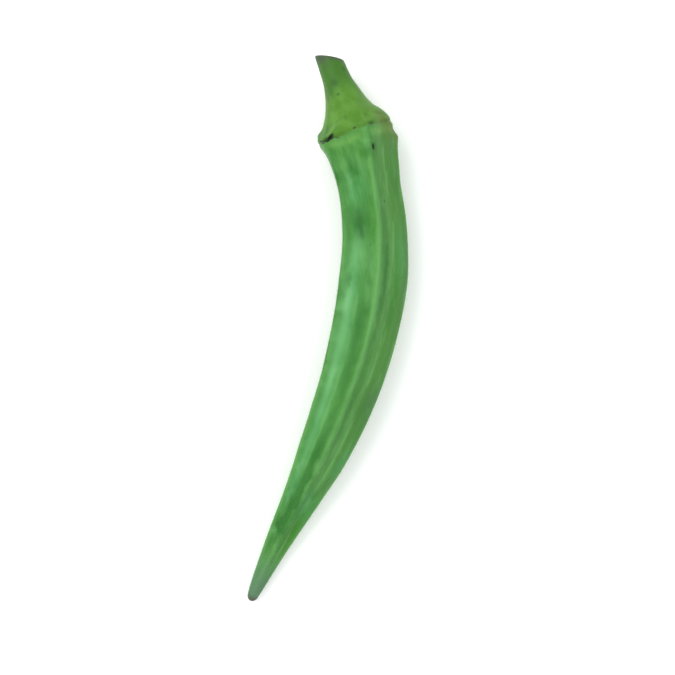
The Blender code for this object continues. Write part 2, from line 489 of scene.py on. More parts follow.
@dataclass(frozen=True)
class PodForm:
    """The main form of the pod, as the solid has it.

    Places are measured along the axis from the cut stem, and angles in degrees from the +X side. Each table
    gives a value at its places: what the shoulder adds on the +X side, the radius at the crests, how flat
    the sides are, how much of the ribs, seams and hollows shows, the axis's heading, how far the rings lean,
    and the gap under the pod.
    """

    length: float = 131.6
    scar: float = 18.2
    beak_round: float = 1.2
    shoulder: Table = (
        (0.0, 0.0), (8.5, 0.2), (11.5, 0.05), (13.0, 0.05), (14.4, 0.65), (15.6, 0.8), (16.8, 0.0),
        (18.2, -1.1), (21.0, -0.1), (24.0, -0.2), (30.0, -0.15), (38.0, 0.0), (131.6, 0.0),
    )
    shoulder_spread: float = 50.0
    crest_radius: Table = (
        (0.0, 2.98), (5.0, 3.17), (8.5, 3.9), (11.5, 4.97), (14.0, 6.3), (16.4, 7.95), (18.2, 9.55),
        (19.6, 9.4), (22.4, 8.7), (26.0, 8.05), (32.0, 7.5), (42.0, 7.75), (52.0, 8.2), (66.0, 7.85),
        (80.0, 7.1), (92.0, 6.05), (102.0, 4.6), (112.0, 3.35), (122.0, 2.25), (128.0, 1.6), (131.6, 1.05),
    )
    flatness: Table = (
        (0.0, 2.9), (9.0, 3.0), (13.0, 3.8), (18.2, 7.0), (23.0, 11.0), (40.0, 15.0), (100.0, 15.0),
        (120.0, 9.0), (131.6, 4.0),
    )
    relief: Table = (
        (0.0, 0.0), (11.0, 0.0), (18.2, 0.3), (21.0, 0.6), (30.0, 1.0), (98.0, 1.0), (118.0, 0.6),
        (129.0, 0.1), (131.6, 0.0),
    )
    hollow: float = 0.035
    rib_height: float = 0.28
    rib_width: float = 0.75
    furrow_share: float = 0.45
    suture_depth: float = 0.26
    suture_width: float = 0.5
    scar_depth: float = 0.38
    scar_width: float = 0.34
    scallop: float = 1.0
    scallop_reach: float = 3.0
    scar_tilt: float = 0.6
    scar_tilt_way: float = 165.0
    scar_tilt_reach: float = 7.0
    lip_height: float = 0.16
    lip_width: float = 0.55
    crest_angles: tuple[float, ...] = (1.0, 78.0, 145.0, 216.0, 287.0)
    twist: float = 13.0
    twist_start: float = 55.0
    headings: Table = (
        (0.0, 26.0), (8.0, 27.7), (14.0, 25.3), (20.0, 22.2), (34.0, 15.3), (50.0, 2.8), (85.0, -13.0),
        (110.0, -19.2), (131.6, -15.6),
    )
    lean: Table = ((0.0, 27.0), (8.0, 5.0), (18.2, 5.5), (45.0, 0.0), (131.6, 0.0))
    gap: Table = (
        (0.0, 4.4), (9.0, 3.9), (19.8, -0.25), (36.0, 0.7), (54.0, -0.3), (74.0, 0.3), (96.0, 0.4),
        (112.0, 0.2), (120.0, -0.1), (127.0, 0.3), (131.6, 1.9),
    )
    rim: float = 0.28
    cut_dish: float = 0.14
    axis_step: float = 0.2
    reach_steps: int = 180

    @property
    def crests(self) -> list[float]:
        """The ridge crests' angles at the scar, in radians from the +X side."""
        return [math.radians(angle) for angle in self.crest_angles]

    @property
    def spans(self) -> list[float]:
        """The turn from each ridge crest to the next."""
        crests = self.crests
        nexts = crests[1:] + crests[:1]
        return [turn_between(crest, following) % math.tau for crest, following in zip(crests, nexts)]

    @property
    def middles(self) -> list[float]:
        """The angle of the middle of each side."""
        return [crest + span / 2 for crest, span in zip(self.crests, self.spans)]

    def turn_at(self, place: float) -> float:
        """Return how far the section has turned at a place, in radians."""
        return math.radians(self.twist) * ease(place, self.twist_start, self.length)

    def taper_at(self, place: float) -> float:
        """Return how far the beak's round end has closed at a place, from 1, open, to 0, closed."""
        into_beak = max(0.0, (place - self.length + self.beak_round) / self.beak_round)
        return math.sqrt(max(0.0, 1 - into_beak**2))

    def radius(self, place: float, angle: float) -> float:
        """Work out the solid's own radius, which sets how high the pod lies.

        Args:
            place: The place along the pod.
            angle: The direction round it, in radians from the +X side.

        Returns:
            The distance from the axis to the surface.
        """
        size = through(self.crest_radius, place)
        power = through(self.flatness, place)
        relief = through(self.relief, place)
        angle -= self.turn_at(place)
        half_side = math.pi / SIDES
        flats = sum(max(0.0, math.cos(angle - middle)) ** power for middle in self.middles)
        radius = size * (2 * math.cos(half_side) ** power / flats) ** (1 / power)
        from_middle = min(abs(turn_between(angle, middle)) for middle in self.middles)
        radius -= relief * self.hollow * size * (1 - min(1.0, from_middle / half_side) ** 2) ** 2
        radius -= relief * self.suture_depth * hump(from_middle * radius, self.suture_width)
        from_crest = min(abs(turn_between(angle, crest)) for crest in self.crests) * radius
        furrows = self.furrow_share * hump(from_crest - 2 * self.rib_width, self.rib_width)
        radius += relief * self.rib_height * (hump(from_crest, self.rib_width) - furrows)
        from_shoulder = turn_between(angle, 0.0) / math.radians(self.shoulder_spread)
        radius += through(self.shoulder, place) * hump(from_shoulder, 1.0)
        from_scar = place - self.scar
        radius -= self.scar_depth * hump(from_scar, self.scar_width)
        radius += self.lip_height * hump(abs(from_scar) - 2 * self.scar_width, self.lip_width)
        return radius * self.taper_at(place)

    def heights(self) -> Table:
        """Work out how high the pod lies.

        Returns:
            The axis's height at each place where the gap under the pod is given.
        """
        angles = [math.tau * i / self.reach_steps for i in range(self.reach_steps)]
        return [
            (place, max(-math.sin(angle) * self.radius(place, angle) for angle in angles) + gap)
            for place, gap in self.gap
        ]

    def axis(self) -> list[tuple[Vector, float]]:
        """Bend the axis by its headings, and turn it so that the pod's ends lie on one line along Y.

        Returns:
            The axis's points, an equal step apart, each with its heading in radians.
        """
        count = round(self.length / self.axis_step)
        places = [self.length * i / count for i in range(count + 1)]
        headings = [math.radians(through(self.headings, place)) for place in places]
        for _ in range(2):
            x, y = 0.0, 0.0
            points = [(x, y)]
            for first, second in zip(headings, headings[1:]):
                x += self.length / count * math.sin((first + second) / 2)
                y -= self.length / count * math.cos((first + second) / 2)
                points.append((x, y))
            lean = math.atan2(x, -y)
            headings = [heading - lean for heading in headings]
        high = self.heights()
        return [
            (Vector((x, y, through(high, place))), heading)
            for (x, y), heading, place in zip(points, headings, places)
        ]


@dataclass(frozen=True)
class Ring:
    """One ring of the skin: its place, and how far it is drawn in, shrunk and sunk at the cut."""

    place: float
    inset: float = 0.0
    shrink: float = 1.0
    sink: float = 0.0


@dataclass(frozen=True)
class SkinDetail:
    """What the skin adds to the solid's form, or has finer than the solid.

    The scar's groove is shallow where it has healed over and deep where it gapes. A dent is a single pit.
    """

    points_a_side: int = 48
    bunching: float = 0.5
    suture_depth: float = 0.091
    scar_lean: float = 0.7
    scar_wander: float = 0.5
    healed_share: float = 0.12
    gaping_share: float = 0.9
    notch_depth: float = 0.3
    notch_width: float = 0.7
    seed_row: float = 0.27
    seed_row_width: float = 0.11
    seed_spacing: float = 6.6
    seed_stagger: float = 0.382
    seed_drift: float = 1.6
    seed_height: float = 0.2
    bracts: int = 9
    bract_place: float = -2.5
    bract_drift: float = 4.0
    bract_size: float = 0.5
    bract_depth: float = 0.16
    full_size: float = 8.0
    swell: float = 0.5
    streak: float = 0.1
    gapes: tuple[Spot, ...] = spots(
        (140.0, 19.2, 2.4, 3.0, 0.9), (64.0, 17.6, 0.7, 3.0, 0.3), (20.0, 17.2, 1.0, 3.0, 0.3),
        (178.0, 19.2, 2.0, 3.0, 0.8), (216.0, 18.8, 1.2, 3.0, 0.9), (250.0, 18.0, 2.0, 3.0, 0.4),
        (287.0, 17.3, 1.4, 3.0, 0.9), (330.0, 17.0, 1.6, 3.0, 0.4),
    )
    dents: tuple[Spot, ...] = spots(
        (133.0, 18.9, 1.1, 0.38, 0.5), (68.5, 22.3, 0.28, 0.85, 0.4), (64.0, 17.5, 0.5, 0.28, 0.12),
    )
    patterns: tuple[Pattern, ...] = (
        Pattern("slow", 9.0, 20.0),
        Pattern("patchy", 6.0, 10.0),
        Pattern("wander", 2.2, 2.2),
        Pattern("streaks", 1.2, 30.0, 2.0),
    )

    def sizes(self, form: PodForm) -> dict[str, float]:
        """Return the skin tree's named sizes.

        Args:
            form: The pod's form.

        Returns:
            The sizes of the form that the skin shares, and its own.
        """
        own = {name: value for name, value in vars(self).items() if isinstance(value, (int, float))}
        shared = {name: getattr(form, name) for name in SHARED_SIZES}
        turned = {
            "scar_place": form.scar,
            "scar_tilt_way": math.radians(form.scar_tilt_way),
            "shoulder_spread": form.shoulder_spread / 360,
        }
        return {name.replace("_", " ").capitalize(): value for name, value in (own | shared | turned).items()}


SIDE_STEPS: tuple[Step, ...] = (
    ("turned", "DIVIDE", "index", "Points a side"),
    ("side", "FLOOR", "turned"),
    ("step", "FRACT", "turned"),
    ("step_turn", "MULTIPLY", "step", math.tau),
    ("step_wave", "SINE", "step_turn"),
    ("bunch", "MULTIPLY", "step_wave", "Bunching"),
    ("bunch_share", "DIVIDE", "bunch", math.tau),
    ("share", "SUBTRACT", "step", "bunch_share"),
)
"""Which side a point of the section lies on, and at what share of it. Points bunch up at the crests."""

TURN_STEPS: tuple[Step, ...] = (
    ("from_edge", "PINGPONG", "share", 0.5),
    ("from_middle", "SUBTRACT", 0.5, "from_edge"),
    ("crest_turn", "MULTIPLY", "from_edge", "span"),
    ("middle_turn", "MULTIPLY", "from_middle", "span"),
    ("angle", "MULTIPLY_ADD", "share", "span", "crest"),
    ("from_ring", "SUBTRACT", "place", "Scar place"),
    ("tilt_turn", "SUBTRACT", "angle", "Scar tilt way"),
    ("tilt_wave", "COSINE", "tilt_turn"),
    ("tilt_here", "HUMP", "from_ring", "Scar tilt reach", "Scar tilt"),
    ("tilt", "MULTIPLY", "tilt_here", "tilt_wave"),
    ("tilted_place", "ADD", "place", "tilt"),
)
"""The way round the axis, the turns from the nearest crest and the side's middle, and the scar's tilt."""

PENTAGON_STEPS: tuple[Step, ...] = (
    ("crest_flat", "POWER", math.cos(math.pi / SIDES), "power"),
    ("crest_flats", "MULTIPLY", "crest_flat", 2.0),
    ("flat_ratio", "DIVIDE", "crest_flats", "flats"),
    ("root", "DIVIDE", 1.0, "power"),
    ("pentagon", "POWER", "flat_ratio", "root"),
    ("plain", "MULTIPLY", "pentagon", "size"),
    ("side_share", "DIVIDE", "middle_turn", math.pi / SIDES),
    ("side_part", "MINIMUM", "side_share", 1.0),
    ("side_square", "MULTIPLY", "side_part", "side_part"),
    ("side_dip", "SUBTRACT", 1.0, "side_square"),
    ("side_hollow", "MULTIPLY", "side_dip", "side_dip"),
    ("hollow_share", "MULTIPLY", "relief", "Hollow"),
    ("hollow_depth", "MULTIPLY", "hollow_share", "size"),
    ("hollow", "MULTIPLY", "hollow_depth", "side_hollow"),
    ("hollowed", "SUBTRACT", "plain", "hollow"),
)
"""The soft pentagon, whose power says how flat its sides are, less the hollow of each side."""

RIB_STEPS: tuple[Step, ...] = (
    ("middle_mm", "MULTIPLY", "middle_turn", "hollowed"),
    ("suture_here", "MULTIPLY", "relief", "Suture depth"),
    ("suture", "HUMP", "middle_mm", "Suture width", "suture_here"),
    ("sutured", "SUBTRACT", "hollowed", "suture"),
    ("crest_mm", "MULTIPLY", "crest_turn", "sutured"),
    ("rib_here", "MULTIPLY", "relief", "Rib height"),
    ("rib", "HUMP", "crest_mm", "Rib width", "rib_here"),
    ("flank_mm", "MULTIPLY_ADD", "Rib width", -2.0, "crest_mm"),
    ("furrow_here", "MULTIPLY", "rib_here", "Furrow share"),
    ("furrow", "HUMP", "flank_mm", "Rib width", "furrow_here"),
    ("rib_added", "ADD", "sutured", "rib"),
    ("furrowed", "SUBTRACT", "rib_added", "furrow"),
    ("round_turn", "ADD", "angle", math.pi),
    ("rounds", "DIVIDE", "round_turn", math.tau),
    ("round_part", "FRACT", "rounds"),
    ("from_side", "SUBTRACT", "round_part", 0.5),
    ("fuller", "HUMP", "from_side", "Shoulder spread", "shoulder"),
    ("ribbed", "ADD", "furrowed", "fuller"),
)
"""The seam along the middle of each side, the rib and its furrows along each crest, and the shoulder."""

SCAR_STEPS: tuple[Step, ...] = (
    ("share_turn", "MULTIPLY", "share", math.tau),
    ("share_wave", "COSINE", "share_turn"),
    ("shift_here", "HUMP", "from_ring", "Scallop reach", "Scallop"),
    ("ring_shift", "MULTIPLY", "shift_here", "share_wave"),
    ("leaned_mm", "MULTIPLY", "tilt_wave", "Scar lean"),
    ("from_lean", "SUBTRACT", "from_ring", "leaned_mm"),
    ("from_level", "ADD", "from_lean", "ring_shift"),
    ("notch", "HUMP", "crest_mm", "Notch width", "Notch depth"),
    ("from_notch", "SUBTRACT", "from_level", "notch"),
    ("wander_off", "SUBTRACT", "wander", 0.5),
    ("wander_mm", "MULTIPLY", "wander_off", "Scar wander"),
    ("scar_mm", "SUBTRACT", "from_notch", "wander_mm"),
    ("groove_part", "MULTIPLY_ADD", "open", "Gaping share", "Healed share"),
    ("groove_here", "MULTIPLY", "groove_part", "Scar depth"),
    ("groove", "HUMP", "scar_mm", "Scar width", "groove_here"),
    ("off_scar", "ABSOLUTE", "scar_mm"),
    ("lip_mm", "MULTIPLY_ADD", "Scar width", -2.0, "off_scar"),
    ("lip", "HUMP", "lip_mm", "Lip width", "Lip height"),
    ("lip_added", "ADD", "ribbed", "lip"),
    ("scarred", "SUBTRACT", "lip_added", "groove"),
)
"""The scar of the calyx: a groove between two lips, scalloped round the sides and notched at the crests."""

SEED_STEPS: tuple[Step, ...] = (
    ("row_off", "SUBTRACT", "from_edge", "Seed row"),
    ("row", "HUMP", "row_off", "Seed row width", 1.0),
    ("far_row", "GREATER_THAN", "share", 0.5),
    ("row_number", "MULTIPLY_ADD", "side", 2.0, "far_row"),
    ("row_phase", "MULTIPLY", "row_number", "Seed stagger"),
    ("beads_along", "DIVIDE", "place", "Seed spacing"),
    ("bead_at", "ADD", "beads_along", "row_phase"),
    ("bead_drifted", "MULTIPLY_ADD", "slow", "Seed drift", "bead_at"),
    ("bead_turn", "MULTIPLY", "bead_drifted", math.tau),
    ("bead_wave", "COSINE", "bead_turn"),
    ("bead", "MULTIPLY_ADD", "bead_wave", 0.5, 0.5),
    ("row_bead", "MULTIPLY", "row", "bead"),
    ("bead_here", "MULTIPLY", "row_bead", "relief"),
    ("seed", "MULTIPLY", "bead_here", "patchy"),
    ("seeded", "MULTIPLY_ADD", "seed", "Seed height", "scarred"),
)
"""The swellings over the seeds, in a row on either side of each crest, some fuller than others."""

BRACT_STEPS: tuple[Step, ...] = (
    ("bracts_a_radian", "DIVIDE", "Bracts", math.tau),
    ("bract_turn", "MULTIPLY", "angle", "bracts_a_radian"),
    ("bract_part", "FRACT", "bract_turn"),
    ("bract_off", "SUBTRACT", "bract_part", 0.5),
    ("bract_angle", "DIVIDE", "bract_off", "bracts_a_radian"),
    ("bract_arc", "MULTIPLY", "bract_angle", "ribbed"),
    ("bract_across", "MULTIPLY_ADD", "wander_off", "Bract drift", "bract_arc"),
    ("bract_along", "SUBTRACT", "from_ring", "Bract place"),
    ("bract_across_square", "MULTIPLY", "bract_across", "bract_across"),
    ("bract_along_square", "MULTIPLY", "bract_along", "bract_along"),
    ("bract_square", "ADD", "bract_across_square", "bract_along_square"),
    ("bract_mm", "SQRT", "bract_square"),
    ("bract", "HUMP", "bract_mm", "Bract size", 1.0),
    ("bract_pit", "MULTIPLY", "bract", "Bract depth"),
    ("pitted", "SUBTRACT", "seeded", "bract_pit"),
)
"""The ring of small pits above the scar where the bracts sat."""

FINISH_STEPS: tuple[Step, ...] = (
    ("swell_off", "SUBTRACT", "slow", 0.5),
    ("swell_share", "DIVIDE", "size", "Full size"),
    ("swell_here", "MULTIPLY", "swell_share", "Swell"),
    ("swollen", "MULTIPLY_ADD", "swell_off", "swell_here", "pitted"),
    ("streak_off", "SUBTRACT", "streaks", 0.5),
    ("streak_here", "MULTIPLY", "swell_share", "Streak"),
    ("streaked", "MULTIPLY_ADD", "streak_off", "streak_here", "swollen"),
    ("dented", "SUBTRACT", "streaked", "dent"),
    ("drawn_in", "SUBTRACT", "dented", "inset"),
    ("shrunk", "MULTIPLY", "drawn_in", "shrink"),
    ("radius", "MULTIPLY", "shrunk", "taper"),
    ("cut_in", "SUBTRACT", 1.0, "shrink"),
    ("world_angle", "ADD", "angle", "twist"),
    ("cosine", "COSINE", "world_angle"),
    ("sine", "SINE", "world_angle"),
    ("out_across", "MULTIPLY", "radius", "cosine"),
    ("out_up", "MULTIPLY", "radius", "sine"),
    ("leaned", "MULTIPLY_ADD", "out_across", "slope", "ring_shift"),
    ("tilted", "ADD", "leaned", "tilt"),
    ("ahead", "ADD", "tilted", "sink"),
)
"""Broad swells, streaks and dents, the cut face, the beak's closing, and the point's place from the axis."""


CHART_STEPS: tuple[Step, ...] = (
    ("round_x", "COSINE", "angle"),
    ("round_y", "SINE", "angle"),
    ("arm_x", "MULTIPLY", "round_x", "size"),
    ("arm_y", "MULTIPLY", "round_y", "size"),
)
"""Where the point would lie on a straight, round pod."""


@dataclass
class PodSkin:
    """The pod's skin from the cut stem to the beak, with the cut face.

    A run of rings has its start, its end and the step between its rings. The beak's last rings are given by
    degrees round its end, those of the cut face by their shares of its radius and of its dish, and those of
    its rim by how far they are drawn in and sunk, as shares of the rim.
    """

    form: PodForm = field(default_factory=PodForm)
    detail: SkinDetail = field(default_factory=SkinDetail)
    cut_rings: Table = (
        (0.0, 1.0), (0.12, 1.0), (0.3, 0.95), (0.5, 0.85), (0.68, 0.7), (0.82, 0.5), (0.93, 0.2),
    )
    rim_rings: Table = ((1.0, 0.0), (0.6, 0.12), (0.25, 0.4))
    ring_runs: tuple[Triple, ...] = (
        (0.28, 10.0, 0.5), (10.0, 15.0, 0.35), (15.0, 22.5, 0.16), (22.5, 30.0, 0.32), (30.0, 104.0, 0.43),
        (104.0, 127.0, 0.38), (127.0, 130.4, 0.25),
    )
    beak_turns: tuple[float, ...] = (12.0, 24.0, 36.0, 48.0, 59.0, 69.0, 78.0, 85.0, 90.0)
    weld: float = 0.001

    def rings(self) -> list[Ring]:
        """Set out the rings.

        Returns:
            Every ring from the middle of the cut face to the beak's point.
        """
        form = self.form
        rings = [Ring(0.0, form.rim, share, form.cut_dish * dish) for share, dish in self.cut_rings]
        rings += [Ring(0.0, form.rim * inset, sink=form.rim * sink) for inset, sink in self.rim_rings]
        for start, end, step in self.ring_runs:
            count = round((end - start) / step)
            rings += [Ring(start + (end - start) * i / count) for i in range(count)]
        beak_start = form.length - form.beak_round
        for turn in (0.0, *self.beak_turns):
            rings.append(Ring(beak_start + form.beak_round * math.sin(math.radians(turn))))
        return rings

    def spine(self) -> Object:
        """Make the line of ring centres, each with what the tree needs to shape its ring.

        Returns:
            A mesh of points joined in a line, with one attribute for each quantity.
        """
        form = self.form
        rings = self.rings()
        numbers: dict[str, list[float]] = {
            "place": [ring.place for ring in rings],
            "inset": [ring.inset for ring in rings],
            "shrink": [ring.shrink for ring in rings],
            "sink": [ring.sink for ring in rings],
            "size": [through(form.crest_radius, ring.place) for ring in rings],
            "power": [through(form.flatness, ring.place) for ring in rings],
            "relief": [through(form.relief, ring.place) for ring in rings],
            "shoulder": [through(form.shoulder, ring.place) for ring in rings],
            "slope": [math.tan(math.radians(through(form.lean, ring.place))) for ring in rings],
            "twist": [form.turn_at(ring.place) for ring in rings],
            "taper": [form.taper_at(ring.place) for ring in rings],
        }
        arrows: dict[str, list[Vector]] = {name: [] for name in RING_ARROWS}
        axis = form.axis()
        for ring in rings:
            at = ring.place / form.length * (len(axis) - 1)
            low = min(int(at), len(axis) - 2)
            (start, first), (end, second) = axis[low], axis[low + 1]
            heading = first + (second - first) * (at - low)
            across = Vector((math.cos(heading), math.sin(heading), 0.0))
            up = (end - start).normalized().cross(across).normalized()
            arrows["centre"].append(start.lerp(end, at - low))
            arrows["across"].append(across)
            arrows["up"].append(up)
            arrows["along"].append(across.cross(up))
        mesh = bpy.data.meshes.new("pod_spine")
        # The line's own points only have to be apart. The tree moves each ring to its centre.
        points = [(0.0, i * MM, 0.0) for i in range(len(rings))]
        mesh.from_pydata(points, [(i, i + 1) for i in range(len(rings) - 1)], [])
        for name, values in numbers.items():
            mesh.attributes.new(name, "FLOAT", "POINT").data.foreach_set("value", values)
        for name, vectors in arrows.items():
            flat = [part for vector in vectors for part in vector]
            mesh.attributes.new(name, "FLOAT_VECTOR", "POINT").data.foreach_set("vector", flat)
        return put("pod_spine", mesh)

    def tree(self) -> Tree:
        """Make the tree that sweeps the section along the spine and shapes every ring of it.

        Returns:
            The tree.
        """
        numbers = ("place", "side", "share", *RING_NUMBERS)
        tree, entry, known = new_tree("okra_skin_sweep", self.detail.sizes(self.form), numbers, RING_ARROWS)
        line = add(tree, "GeometryNodeMeshToCurve", {}, {"Mesh": entry.outputs["Geometry"]})
        inputs = {"Curve": line.outputs[0], "Profile Curve": self.section(tree, known)}
        geometry = add(tree, "GeometryNodeCurveToMesh", {}, inputs).outputs[0]
        self.sides(tree, known)
        self.chart(tree, known)
        for steps in (PENTAGON_STEPS, RIB_STEPS, SCAR_STEPS, SEED_STEPS, BRACT_STEPS, FINISH_STEPS):
            work_out(tree, steps, known)
        for name in (*SKIN_MARKS, "unrolled"):
            kind = "FLOAT_VECTOR" if name == "unrolled" else "FLOAT"
            geometry = add(
                tree, "GeometryNodeStoreNamedAttribute", {"data_type": kind, "domain": "POINT"},
                {"Geometry": geometry, "Name": name, "Value": known[name]},
            ).outputs[0]
        inputs = {"Geometry": geometry, "Position": self.position(tree, known)}
        moved = add(tree, "GeometryNodeSetPosition", {}, inputs).outputs[0]
        inputs = {"Geometry": moved, "Distance": self.weld * MM}
        geometry = add(tree, "GeometryNodeMergeByDistance", {}, inputs).outputs[0]
        for name in (*RING_NUMBERS, *RING_ARROWS):
            inputs = {"Geometry": geometry, "Name": name}
            geometry = add(tree, "GeometryNodeRemoveAttribute", {}, inputs).outputs[0]
        end_tree(tree, entry, geometry)
        return tree

    def section(self, tree: Tree, known: Sockets) -> Socket:
        """Add the ring that is swept, whose points are marked with their side and their share of it.

        Args:
            tree: The tree that gets the nodes.
            known: The sockets by name.

        Returns:
            The ring.
        """
        own = known | {"index": add(tree, "GeometryNodeInputIndex").outputs[0]}
        work_out(tree, (("count", "MULTIPLY", "Points a side", SIDES), *SIDE_STEPS), own)
        ring = add(tree, "GeometryNodeCurvePrimitiveCircle", {}, {"Resolution": own["count"], "Radius": MM})
        geometry = ring.outputs["Curve"]
        for name in ("side", "share"):
            geometry = add(
                tree, "GeometryNodeStoreNamedAttribute", {"data_type": "FLOAT", "domain": "POINT"},
                {"Geometry": geometry, "Name": name, "Value": own[name]},
            ).outputs[0]
        return geometry

    def sides(self, tree: Tree, known: Sockets) -> None:
        """Add the sums that say which way a point lies and how squarely each side faces it.

        Args:
            tree: The tree that gets the nodes.
            known: The sockets by name, which the results join.
        """
        for name, values in (("crest", self.form.crests), ("span", self.form.spans)):
            switch = add(tree, "GeometryNodeIndexSwitch", {"data_type": "FLOAT"}, {"Index": known["side"]})
            while len(switch.index_switch_items) < SIDES:
                switch.index_switch_items.new()
            for i, value in enumerate(values):
                switch.inputs[i + 1].default_value = value
            known[name] = switch.outputs[0]
        work_out(tree, TURN_STEPS, known)
        steps: list[Step] = [("flats", "ADD", 0.0, 0.0)]
        for middle in self.form.middles:
            steps += [
                ("facing", "SUBTRACT", "angle", middle),
                ("facing_wave", "COSINE", "facing"),
                ("facing_kept", "MAXIMUM", "facing_wave", 0.0),
                ("flat", "POWER", "facing_kept", "power"),
                ("flats", "ADD", "flats", "flat"),
            ]
        work_out(tree, steps, known)

    def chart(self, tree: Tree, known: Sockets) -> None:
        """Add the straightened coordinates of the skin, and the random patterns and spots drawn on them.

        Args:
            tree: The tree that gets the nodes.
            known: The sockets by name, which the coordinates, patterns and spots join.
        """
        work_out(tree, CHART_STEPS, known)
        inputs = {0: known["arm_x"], 1: known["arm_y"], 2: known["tilted_place"]}
        chart = add(tree, "ShaderNodeCombineXYZ", {}, inputs).outputs[0]
        draw_patterns(tree, chart, self.detail.patterns, known)
        draw_spots(tree, chart, "dent", self.detail.dents, self.form, known)
        draw_spots(tree, chart, "open", self.detail.gapes, self.form, known)
        known["unrolled"] = chart

    def position(self, tree: Tree, known: Sockets) -> Socket:
        """Add the nodes that place each point of the skin, no lower than the floor.

        Args:
            tree: The tree that gets the nodes.
            known: The sockets by name.

        Returns:
            The point's place in metres.
        """
        place = known["centre"]
        for arrow, distance in (("across", "out_across"), ("up", "out_up"), ("along", "ahead")):
            inputs = {0: known[arrow], "Scale": known[distance]}
            part = add(tree, "ShaderNodeVectorMath", {"operation": "SCALE"}, inputs)
            inputs = {0: place, 1: part.outputs[0]}
            place = add(tree, "ShaderNodeVectorMath", {"operation": "ADD"}, inputs).outputs[0]
        metres = add(tree, "ShaderNodeVectorMath", {"operation": "SCALE"}, {0: place, "Scale": MM})
        apart = add(tree, "ShaderNodeSeparateXYZ", {}, {0: metres.outputs[0]})
        height = add(tree, "ShaderNodeMath", {"operation": "MAXIMUM"}, {0: apart.outputs["Z"], 1: 0.0})
        inputs = {0: apart.outputs["X"], 1: apart.outputs["Y"], 2: height.outputs[0]}
        return add(tree, "ShaderNodeCombineXYZ", {}, inputs).outputs[0]

    def build(self, material: Material) -> Object:
        """Make the skin over the solid.

        Args:
            material: The skin's material.

        Returns:
            The skin, in place.
        """
        spine = self.spine()
        skin = grow(spine, self.tree(), "okra_pod_skin", material, self.detail.sizes(self.form))
        bpy.data.objects.remove(spine)
        low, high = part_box(NODE)
        corners = [vertex.co for vertex in skin.data.vertices]
        own_low = Vector(min(corner[i] for corner in corners) for i in range(3))
        own_high = Vector(max(corner[i] for corner in corners) for i in range(3))
        shift = (low + high - own_low - own_high) / 2
        skin.data.transform(Matrix.Translation((shift.x, shift.y, 0.0)))
        faces_outward(skin)
        return skin


# --- Finishes ----------------------------------------------------------------------------------------------


class Tint(NamedTuple):
    """A colour that lies over the skin in a few soft spots."""

    name: str
    colour: str
    spots: tuple[Spot, ...]


